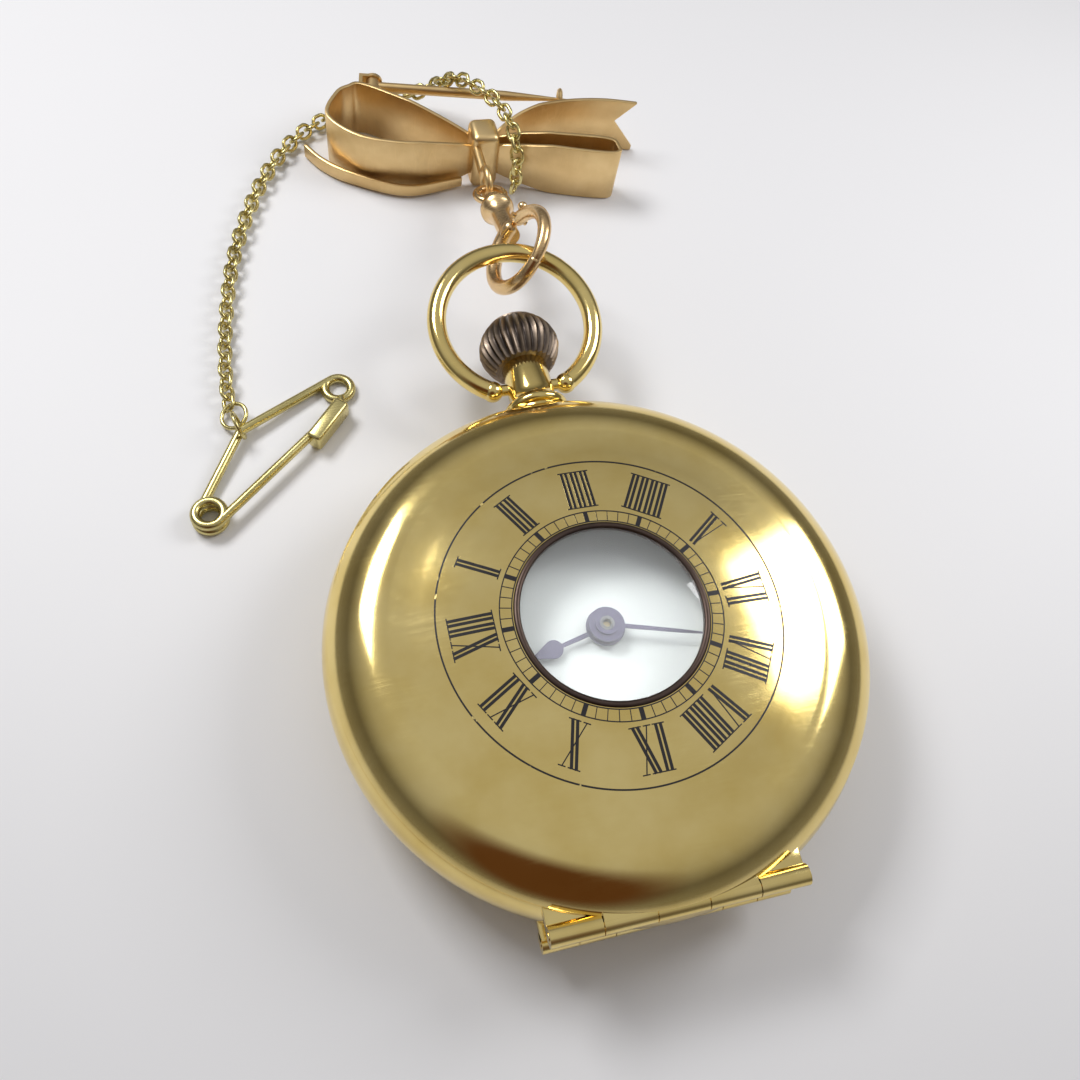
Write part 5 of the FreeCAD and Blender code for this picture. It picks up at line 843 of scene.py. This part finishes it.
@dataclass
class Chapter:
    """A circle of Roman hours whose feet point inwards, with three o'clock at the crown.

    Attributes:
        foot: Radius of the numerals' feet.
        head: Radius of their heads.
    """

    foot: float
    head: float
    hours: tuple[str, ...] = ("I", "II", "III", "IIII", "V", "VI", "VII", "VIII", "IX", "X", "XI", "XII")
    advance: dict[str, float] = field(default_factory=lambda: {"I": 0.62, "V": 1.35, "X": 1.4})
    thin: float = 0.07
    bar: float = 0.18
    spread: float = 0.14

    def strokes(self, letter: str, middle: float) -> list[tuple[Point2, Point2, float]]:
        """The strokes of a letter as (start, end, width) in a numeral's own plan."""
        high, half = self.head - self.foot, self.advance[letter] / 2
        low_edge, high_edge = self.thin / 2, high - self.thin / 2

        def thick(foot: float, head: float) -> list[tuple[Point2, Point2, float]]:
            """The two thin bars of a broad stroke."""
            return [((middle + foot + side, 0.0), (middle + head + side, high), self.bar)
                    for side in (-self.spread, self.spread)]

        def serif(at: float, height: float, reach: float = 0.36) -> tuple[Point2, Point2, float]:
            """A thin line across a stroke's end."""
            return (middle + at - reach, height), (middle + at + reach, height), self.thin

        if letter == "I":
            return [*thick(0.0, 0.0), serif(0.0, low_edge), serif(0.0, high_edge)]
        if letter == "V":
            lean = half - 0.3
            return [*thick(0.0, -lean), ((middle + 0.1, 0.0), (middle + lean, high), self.thin),
                    serif(-lean, high_edge), serif(lean, high_edge, 0.25)]
        lean = half - 0.35
        return [*thick(lean, -lean), ((middle - lean, 0.0), (middle + lean, high), self.thin),
                serif(-lean, high_edge), serif(lean, low_edge), serif(lean, high_edge, 0.22),
                serif(-lean, low_edge, 0.22)]

    def draw(self, inlay: Inlay) -> None:
        """Draw all twelve hours."""
        for hour, word in enumerate(self.hours, 1):
            turn = math.radians(180 - 30 * hour)
            out = Vector((math.cos(turn), math.sin(turn)))
            read = Vector((out.y, -out.x))
            at = -sum(self.advance[letter] for letter in word) / 2
            for letter in word:
                middle = at + self.advance[letter] / 2
                at += self.advance[letter]
                for start, end, width in self.strokes(letter, middle):
                    a, b = (out * (self.foot + p[1]) + read * p[0] for p in (start, end))
                    inlay.bar(a, b, width)


def minute_track(inlay: Inlay, inner: float, outer: float) -> None:
    """Two rings with sixty minutes between them and a block at each hour."""
    line, tick, block = 0.07, 0.05, 0.28
    inlay.ring(inner, line)
    inlay.ring(outer, line)
    for minute in range(60):
        turn = math.radians(6 * minute)
        out = Vector((math.cos(turn), math.sin(turn)))
        inlay.bar(out * inner, out * outer, tick if minute % 5 else block)


def build_marks(cover: Piece, dial: Piece) -> None:
    """The enamelled hours, track and ring of the cover, and the printed ones of the dial."""
    lines: tuple[tuple[str, Finish, Callable[[Inlay], None]], ...] = (
        ("cover_hour_numerals", Finish.NUMERAL, Chapter(6.95, 9.65).draw),
        ("cover_minute_track", Finish.TRACK, lambda inlay: minute_track(inlay, 5.93, 6.64)),
        ("cover_outer_ring", Finish.WORN_RING, lambda inlay: inlay.ring(10.33, 0.1)))
    for name, finish, draw in lines:
        inlay = Inlay(name, cover)
        draw(inlay)
        show(inlay.lay(), name, "front", finish)
    prints = Inlay("dial_hours", dial)
    Chapter(9.4, 12.1).draw(prints)
    minute_track(prints, 12.4, 12.9)
    show(prints.lay(0.006, 0.01), "dial_hour_print", "case", Finish.PRINT)


def build_crown() -> None:
    """The ribbed crown, drawn up through its profile from a lobed outline."""
    ribs, depth, start, widest = 30, 0.25, 20.95, 2.9
    count = ribs * 8
    outline = []
    for i in range(count):
        turn = 2 * math.pi * i / count
        radius = widest - depth * (0.5 - 0.5 * math.cos(ribs * turn)) ** 0.7
        outline.append((radius * math.cos(turn), radius * math.sin(turn), start))
    body = Bench.trace("crown_ribs", outline, closed=True)
    profile = bent([(2.15, start, 3.19), (widest, start + 1.56), (widest, start + 1.6, 2.6),
                    (1.9, start + 3.55)], closed=False, step=7)
    with Bench.editing():
        bpy.ops.mesh.select_all(action="SELECT")
        bpy.ops.mesh.edge_face_add()
        bpy.ops.transform.resize(value=(profile[0][0] / widest,) * 2 + (1,), center_override=(0, 0, start * MM))
        for (radius, height), (wider, higher) in zip(profile, profile[1:]):
            bpy.ops.mesh.extrude_region_move(TRANSFORM_OT_translate={"value": (0, 0, (higher - height) * MM)})
            bpy.ops.transform.resize(value=(wider / radius,) * 2 + (1,), center_override=(0, 0, higher * MM))
    Bench.tidy(body)
    cap = Bench.lathe("crown_cap", bent([(0, start + 3.4), (1.95, start + 3.4), (1.95, start + 3.55, 5.6),
                                         (0, start + 3.9)]), 64)
    show(Bench.join("crown_whole", [body, cap]), "winding_crown", "crown", Finish.CROWN,
         ["crown"], angle=50, where=Bench.lay_on_y(STEM_Z))


# ---------------------------------------------------------------- the bow and the swivel


def arc(radius: float, start: float, end: float, count: int) -> list[Point2]:
    """Points of an arc about the origin between two angles."""
    return [(radius * math.cos(math.radians(start + (end - start) * i / count)),
             radius * math.sin(math.radians(start + (end - start) * i / count))) for i in range(count + 1)]


def build_bow() -> None:
    """The round bow, sprung into the neck at its two balls."""
    radius, wire, reach, pivot, tilt = 5.65, 0.68, 2.65, 19.3, 12
    away = math.sqrt(radius * radius - reach * reach)
    gap = math.degrees(math.asin(reach / radius))
    points = [(x, y + away, 0) for x, y in arc(radius, gap - 90, 270 - gap, 96)]
    pieces = [Bench.wire("bow_wire", points, wire, sides=8)]
    for side in (-1, 1):
        pieces.append(Bench.ball(f"bow_ball_{side}", (side * reach, 0, 0), wire + 0.06))
        pieces.append(Bench.rod(f"bow_pin_{side}", (side * 1.35, 0, 0), (side * reach, 0, 0), 0.4))
    slope = Matrix.Translation((0, pivot * MM, STEM_Z * MM)) @ Matrix.Rotation(math.radians(tilt), 4, "X")
    show(Bench.join("bow_whole", pieces), "bow_ring", "bow", Finish.CASE, ["bow"], angle=50,
         where=slope)


@dataclass
class Swivel:
    """The hook with its gate and the eye that turns on its shank."""

    centre_height: float = 0.3
    radius: float = 2.95
    wire: float = 0.58
    twist: float = 35.0
    rivet: float = 66.0
    slot: str = "swivel_gold"

    def matrix(self) -> Matrix:
        """The swivel's slope at the bow's far side."""
        return (Matrix.Translation((1.3 * MM, 29.5592 * MM, 6.98066 * MM))
                @ Matrix.Rotation(math.radians(-18), 4, "X"))

    def at(self, angle: float, more: float = 0.0) -> Point3:
        """A point of the hook's plane at an angle."""
        turn, twist = math.radians(angle), math.radians(self.twist)
        along, up = (self.radius + more) * math.cos(turn), (self.radius + more) * math.sin(turn)
        return along * math.sin(twist), up, along * math.cos(twist) + self.centre_height

    def arc(self, name: str, start: float, end: float, width: float, tip: float) -> Piece:
        """A stretch of the hook's wire that narrows to its tip."""
        count = 48
        points = [self.at(start + (end - start) * i / count) for i in range(count + 1)]
        widths = [width + (tip - width) * (i / count) ** 3 for i in range(count + 1)]
        return Bench.wire(name, points, width, sides=7, radii=widths)

    def build(self) -> None:
        """Make the hook, the gate and the eye."""
        shank = Bench.lathe("shank", bent([(0, 2.5), (0.75, 2.5), (0.75, 5.4, -1.8), (1.3, 6.65), (1.3, 6.95),
                                           (1.2, 7.05), (0, 7.05)]), 48)
        Bench.settle(shank, Bench.lay_on_y(0))
        twist = math.radians(self.twist)
        normal = Vector((math.sin(twist), 0, math.cos(twist))).cross((0, 1, 0))
        rivet = Vector(self.at(self.rivet))
        hook = Bench.join("hook", [self.arc("hook_wire", 88, 285, self.wire, 0.46), shank,
                                   Bench.ball("hook_root", self.at(88), self.wire),
                                   Bench.ball("hook_tip", self.at(285), 0.46),
                                   Bench.rod("rivet", rivet - normal * 0.66, rivet + normal * 0.66, 0.24)])
        gate = Bench.join("gate", [self.arc("gate_wire", self.rivet, -72, self.wire - 0.06, 0.42),
                                   Bench.ball("gate_root", self.at(self.rivet), self.wire - 0.06),
                                   Bench.rod("thumb_stalk", self.at(60), self.at(60, 0.8), 0.2),
                                   Bench.ball("thumb", self.at(60, 0.9), 0.36)])
        eye = Bench.join("eye", [Bench.ball("eye_ball", (0, 7.93, 0), 0.85),
                                 Bench.ring("eye_ring", (0, 9.2, 0), 1.1, 0.3)])
        for piece, name, body in ((hook, "swivel_hook_body", "hook"), (gate, "swivel_spring_gate", "gate"),
                                  (eye, "swivel_eye_ring", "eye")):
            show(piece, name, body, Finish.SWIVEL, ["swivel_" + body], angle=50, where=self.matrix())


# ---------------------------------------------------------------- the brooch


def flowing(points: Sequence[Point2], steps: int = 8) -> list[Point2]:
    """A smooth line through points."""
    path: list[Point2] = []
    line = [Vector(p) for p in points]
    line = [line[0] * 2 - line[1], *line, line[-1] * 2 - line[-2]]
    for a, b, c, d in zip(line, line[1:], line[2:], line[3:]):
        for k in range(steps):
            t = k / steps
            spot = 0.5 * (2 * b + (c - a) * t + (2 * a - 5 * b + 4 * c - d) * t * t
                          + (3 * b - a - 3 * c + d) * t ** 3)
            path.append((spot.x, spot.y))
    path.append((line[-2].x, line[-2].y))
    return path


def sharpened(radius: float, count: int, steps: int, less: float) -> list[float]:
    """Radii along a wire that narrows over its last steps."""
    return [radius - less * max(0, i - count + steps) / steps for i in range(count + 1)]


@dataclass
class Brooch:
    """A brooch of standing ribbon tied in a bow, with its pin behind."""

    knot: Point2 = (2.1, 44.6)
    height: float = 4.9
    sheet: float = 0.32
    base: float = 0.05
    slot: str = "brooch_gold"

    def ribbon(self, name: str, points: Sequence[Point2], pinch: Callable[[float], float],
               middle: float) -> Piece:
        """A standing ribbon along a line from the knot, narrowed by a rule of its distance from it."""
        line = flowing(points)
        strip = Bench.trace(name, [(x + self.knot[0], y + self.knot[1], 0) for x, y in line])
        bpy.ops.object.convert(target="CURVE")
        strip = bpy.context.object
        strip.data.dimensions = "2D"
        strip.data.fill_mode = "NONE"
        strip.data.extrude = self.height / 2 * MM
        for point in strip.data.splines[0].points:
            point.radius = pinch(abs(point.co.x / MM - self.knot[0]))
        bpy.ops.object.convert(target="MESH")
        strip = bpy.context.object
        strip.location.z = middle * MM
        Bench.settle(strip)
        self.thicken(strip)
        return strip

    def thicken(self, strip: Piece) -> None:
        """Give a strip its thickness and soft edges."""
        Bench.modify(strip, "SOLIDIFY", thickness=self.sheet * MM, offset=0.0, use_even_offset=True)
        Bench.modify(strip, "BEVEL", width=0.08 * MM, segments=2, limit_method="ANGLE",
                     angle_limit=math.radians(50))

    def notch(self, strip: Piece, at: Point3, size: float, turn: float) -> None:
        """Cut a swallow's tail in a ribbon's end."""
        wedge = Bench.add("wedge", bpy.ops.mesh.primitive_cylinder_add, vertices=3, radius=size * MM,
                          depth=6 * MM, location=(Vector(at) + Vector((*self.knot, 0))) * MM,
                          rotation=(math.radians(90), math.radians(turn), 0))
        with Bench.editing():
            bpy.ops.transform.resize(value=(1, 1, 2.2), center_override=wedge.location)
        Bench.modify(strip, "BOOLEAN", solver="EXACT", object=wedge, operation="DIFFERENCE")
        Bench.pick(wedge)
        bpy.ops.object.delete()

    def build(self) -> None:
        """Make the loops, the tails, the knot, the pin and the ring that hangs from the knot."""
        middle = self.base + self.height / 2

        def waist(distance: float) -> float:
            """The share of the height that is left at a distance from the knot."""
            return 0.5 + 0.5 * min(1.0, max(0.0, (distance - 0.8) / 4.5)) ** 0.7

        left = self.ribbon("left", [
            (-0.6, -0.35), (-3.3, -0.75), (-6.3, -0.8), (-10.0, 0.4), (-12.2, 2.95), (-11.2, 5.35),
            (-10.1, 6.1), (-8.8, 6.2), (-4.95, 3.6), (-0.6, 0.6)], waist, middle)
        right = self.ribbon("right", [
            (0.6, 0.35), (3.0, -0.1), (5.4, -0.8), (9.95, -1.85), (10.7, -2.75), (10.1, -3.55), (5.2, -2.3),
            (0.6, -0.45)], waist, middle)
        tail = self.ribbon("right_tail", [
            (0.6, 0.3), (3.5, 2.05), (7.0, 2.75), (10.6, 2.65), (14.05, 1.85)], waist, middle)
        self.notch(tail, (15.1, 1.8, 2.95), 3.0, -90)
        end = self.ribbon("left_tail", [(-1.9, -1.1), (-6.6, -1.65), (-11.0, 0.35), (-13.0, 2.0), (-14.2, 3.8)],
                          lambda distance: 0.16 + 0.1 * min(1.0, distance / 12.0), 0.75)
        for piece, form, side in ((left, "loop", "left"), (right, "loop", "right"), (tail, "tail", "right"),
                                  (end, "tail", "left")):
            show(piece, f"brooch_ribbon_{form}_{side}", "brooch", Finish.BROOCH,
                 [f"brooch_{side}_{form}"])
        self.knot_and_ring()
        self.pin()

    def knot_and_ring(self) -> None:
        """The knot, its hanging ring and the post between them."""
        x, y = self.knot
        along, level = 1.3, 3.99
        band = Bench.block("knot_band", (2.3, 2.6, 5.1), (x, y, self.base + 2.55), 0.55, 5)
        ring = Bench.ring("hanging_ring", (along, 39.733, level), 1.1, 0.3, (0, math.radians(90), 0))
        post = Bench.rod("hanging_post", (along, 40.8, level), (along, 43.45, level), 0.4)
        show(Bench.join("knot", [band, ring, post]), "brooch_knot_with_ring", "brooch", Finish.BROOCH,
             ["brooch_knot"])

    def pin(self) -> None:
        """The pin with its eye, from its hinge to its point."""
        bearing, length, radius, count = math.radians(-10.7), 16.7, 0.4, 12
        way = Vector((math.cos(bearing), math.sin(bearing), 0))
        root = Vector((self.knot[0] - 7.9, self.knot[1] + 7.4, 3.6))
        points = [root + way * (length * i / count) for i in range(count + 1)]
        stem = Bench.wire("pin_stem", points, radius, sides=6, radii=sharpened(radius, count, 4, 0.32))
        across = Vector((-way.y, way.x, 0))
        eye = Bench.rod("pin_eye", root - across * 0.43, root + across * 0.43, 0.6)
        show(Bench.join("brooch_stem", [stem, eye]), "brooch_pin_stem", "brooch_pin", Finish.BROOCH,
             ["brooch_pin"])


# ---------------------------------------------------------------- the chain and the safety pin

CHAIN_ROUTE: tuple[Point3, ...] = (
    (-20.72, 23.97, 0.75), (-20.75, 25.5, 0.75), (-20.55, 28.6, 0.75), (-20.1, 32.2, 0.75), (-19.3, 36.6, 0.75),
    (-17.9, 41.0, 0.75), (-15.9, 45.6, 0.75), (-13.4, 49.3, 0.75), (-10.4, 51.8, 0.75), (-6.8, 53.0, 0.75),
    (-3.2, 53.5, 0.9), (-0.6, 52.9, 2.6), (0.9, 51.1, 4.9), (2.3, 48.7, 5.75), (3.6, 46.4, 5.95),
    (4.2, 44.2, 5.75), (4.4, 42.6, 4.7), (4.45, 41.9, 3.0), (4.3, 41.8, 1.4))


@dataclass
class Chain:
    """A chain of links threaded through one another along a route."""

    link_length: float = 1.6
    link_width: float = 1.3
    wire: float = 0.3
    play: float = 0.08
    roll: float = 45.0

    def centreline(self) -> list[Vector]:
        """Points of a smooth curve with the route's points as its controls, from the brooch down."""
        bpy.ops.curve.primitive_nurbs_path_add()
        path = bpy.context.object
        path.data.splines.clear()
        spline = path.data.splines.new("NURBS")
        route = CHAIN_ROUTE[::-1]
        spline.points.add(len(route) - 1)
        for point, place in zip(spline.points, route):
            point.co = (*(Vector(place) * MM), 1.0)
        spline.order_u = 3
        spline.use_endpoint_u = True
        spline.resolution_u = 24
        bpy.ops.object.convert(target="MESH")
        path = bpy.context.object
        points = [vertex.co.copy() for vertex in path.data.vertices]
        bpy.ops.object.delete()
        return points

    def link(self) -> Piece:
        """One link, long along X."""
        bend, straight = (self.link_width - self.wire) / 2, (self.link_length - self.link_width) / 2
        outline = [(x + math.copysign(straight, x), y, 0) for x, y in arc(bend, 9, 351, 19)]
        return Bench.wire("link", outline, self.wire / 2, closed=True, sides=2)

    def build(self) -> None:
        points = self.centreline()
        reach = [0.0]
        for a, b in zip(points, points[1:]):
            reach.append(reach[-1] + (b - a).length)
        pitch = (self.link_length - 2 * self.wire - self.play) * MM
        count = int(reach[-1] / pitch)
        pieces = [self.link()]
        for _ in range(count):
            Bench.pick(pieces[0])
            bpy.ops.object.duplicate()
            pieces.append(bpy.context.object)
        for i, piece in enumerate(pieces):
            along = reach[-1] * i / count
            k = min(len(points) - 2, max(j for j, far in enumerate(reach) if far <= along + 1e-12))
            share = (along - reach[k]) / max(1e-12, reach[k + 1] - reach[k])
            place = points[k].lerp(points[k + 1], min(1.0, share))
            way = (points[k + 1] - points[k]).normalized()
            side = Vector((0, 0, 1)).cross(way)
            side = Vector((-1, 0, 0)) if side.length < 0.2 else side.normalized()
            up = way.cross(side)
            roll = math.radians(self.roll if (count - i) % 2 == 0 else -self.roll)
            across = (side * math.cos(roll) + up * math.sin(roll)).normalized()
            turn = Matrix((way, across, way.cross(across))).transposed()
            piece.matrix_world = Matrix.Translation(place) @ turn.to_4x4()
        chain = show(Bench.join("chain", pieces), "safety_chain", "case", Finish.CHAIN,
                     ["chain_links"], angle=60)
        self.rings()
        list(SafetyPin().build())

    def rings(self) -> Piece:
        """The two jump rings between the chain and the safety pin."""
        pieces = []
        for place, lean in (((-20.2, 21.65, 1.17), 78), ((-20.46, 22.8, 0.72), -22)):
            ring = Bench.ring("jump_ring", (0, 0, 0), 0.95, self.wire / 2)
            ring.matrix_world = (Matrix.Translation(Vector(place) * MM)
                                 @ Matrix.Rotation(math.radians(lean), 4, Vector((-0.218, 0.976, 0))))
            pieces.append(ring)
        return show(Bench.join("rings", pieces), "chain_jump_rings", "case", Finish.CHAIN,
                    ["jump_rings"])


@dataclass
class SafetyPin:
    """The safety pin with a coil at each end and a folded sheath."""

    wire: float = 0.33
    coil: float = 0.95
    hinge: Point2 = (-22.8, 15.0)
    top: Point2 = (-12.9, 24.3)
    bend: Point3 = (-20.15, 21.4, 0.8)
    head: Point2 = (-12.75, 22.5)
    mouth: Point2 = (-15.3, 19.6)

    def leave(self, start: Vector, end: Vector, side: int) -> Vector:
        """The point of a coil where a straight wire leaves it."""
        way = Vector((end.x - start.x, end.y - start.y, 0)).normalized()
        return start + Vector((-way.y, way.x, 0)) * (side * self.coil)

    def build(self) -> list[Piece]:
        """Make the frame and the arm."""
        low, high = self.wire + 0.02, 3 * self.wire + 0.07
        hinge, top, bend = Vector((*self.hinge, low)), Vector((*self.top, low)), Vector(self.bend)
        head, mouth = (Vector((*p, high - self.wire)) for p in (self.head, self.mouth))
        way = (mouth - head).normalized()
        size = (mouth - head).length
        sheath = Bench.block("sheath", (size, 1.15, 1.55), (0, 0, 0), 0.3, 4)
        turn = Matrix((way, Vector((-way.y, way.x, 0)), Vector((0, 0, 1)))).transposed()
        middle = (head + mouth) / 2 + Vector((0, 0, 0.145))
        sheath.matrix_world = Matrix.Translation(middle * MM) @ turn.to_4x4()
        pieces = [Bench.ring("coil_low", hinge, self.coil, self.wire),
                  Bench.ring("coil_top", top, self.coil, self.wire),
                  Bench.rod("back_low", self.leave(hinge, bend, 1), bend, self.wire),
                  Bench.rod("back_high", bend, self.leave(top, bend, -1), self.wire),
                  Bench.ball("back_bend", bend, self.wire), sheath,
                  Bench.rod("link", top + (head - top).normalized() * self.coil, head + way * 0.2,
                            self.wire * 0.9)]
        frame = show(Bench.join("pin_frame", pieces), "safety_pin_wire", "case", Finish.CHAIN,
                     ["safety_pin_frame"])
        root = Vector((*self.hinge, high))
        tip = head + way * 0.55
        tip.z = high
        start = self.leave(root, tip, -1)
        count = 10
        points = [start + (tip - start) * (i / count) for i in range(count + 1)]
        arm = Bench.join("pin_arm", [Bench.ring("coil_arm", root, self.coil, self.wire),
                                     Bench.wire("arm_wire", points, self.wire, sides=5,
                                                radii=sharpened(self.wire, count, 2, 0.2))])
        arm = show(arm, "safety_pin_needle", "safety_arm", Finish.CHAIN, ["safety_pin_arm"])
        return [frame, arm]


# ---------------------------------------------------------------- the pieces kept from the frame

KEPT: dict[Finish, tuple[str, ...]] = {
    Finish.INNER: ("cuvette", "bezel", "front_joint_pin", "back_joint_pin"),
    Finish.GLASS: ("crystal",),
    Finish.GILT: ("main_plate", "barrel_bridge", "train_bridge", "balance_cock", "pallet_cock",
                  "pendant_sleeve"),
    Finish.RUBY: ("jewels",),
    Finish.SCREW: ("bridge_screws", "case_screws"),
    Finish.DIAL: ("dial",),
    Finish.WHEEL: ("barrel", "centre_wheel", "third_wheel", "fourth_wheel", "balance_wheel", "minute_wheel",
                   "hour_wheel"),
    Finish.BLUED: ("hour_hand", "minute_hand", "mainspring", "hairspring"),
    Finish.BOSS: ("cannon_pinion",),
    Finish.STEEL: ("ratchet_wheel", "crown_wheel", "click", "click_post", "escape_wheel", "pallet_fork",
                   "lock_spring", "lift_spring", "stem", "winding_pinion", "clutch_wheel"),
    Finish.BROOCH: ("brooch_pin_joint", "brooch_catch"),
}


def dress(nodes: dict[str, Piece]) -> None:
    """Give the kept pieces their finishes."""
    for finish, names in KEPT.items():
        for name in names:
            nodes[name].data.materials.clear()
            nodes[name].data.materials.append(finish.material())
    nodes["crystal"].visible_shadow = False


def main() -> None:
    """Build the watch on its frame."""
    logging.basicConfig(level=logging.INFO, format="%(name)s: %(message)s")
    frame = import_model()
    dress(frame["nodes"])
    build_band()
    cover = build_front_cover()
    build_back_cover()
    build_window()
    build_marks(cover, frame["nodes"]["dial"])
    build_crown()
    build_bow()
    Swivel().build()
    Brooch().build()
    Chain().build()
    ViewPoint().build()
    Studio().build()


if __name__ == "__main__":
    main()
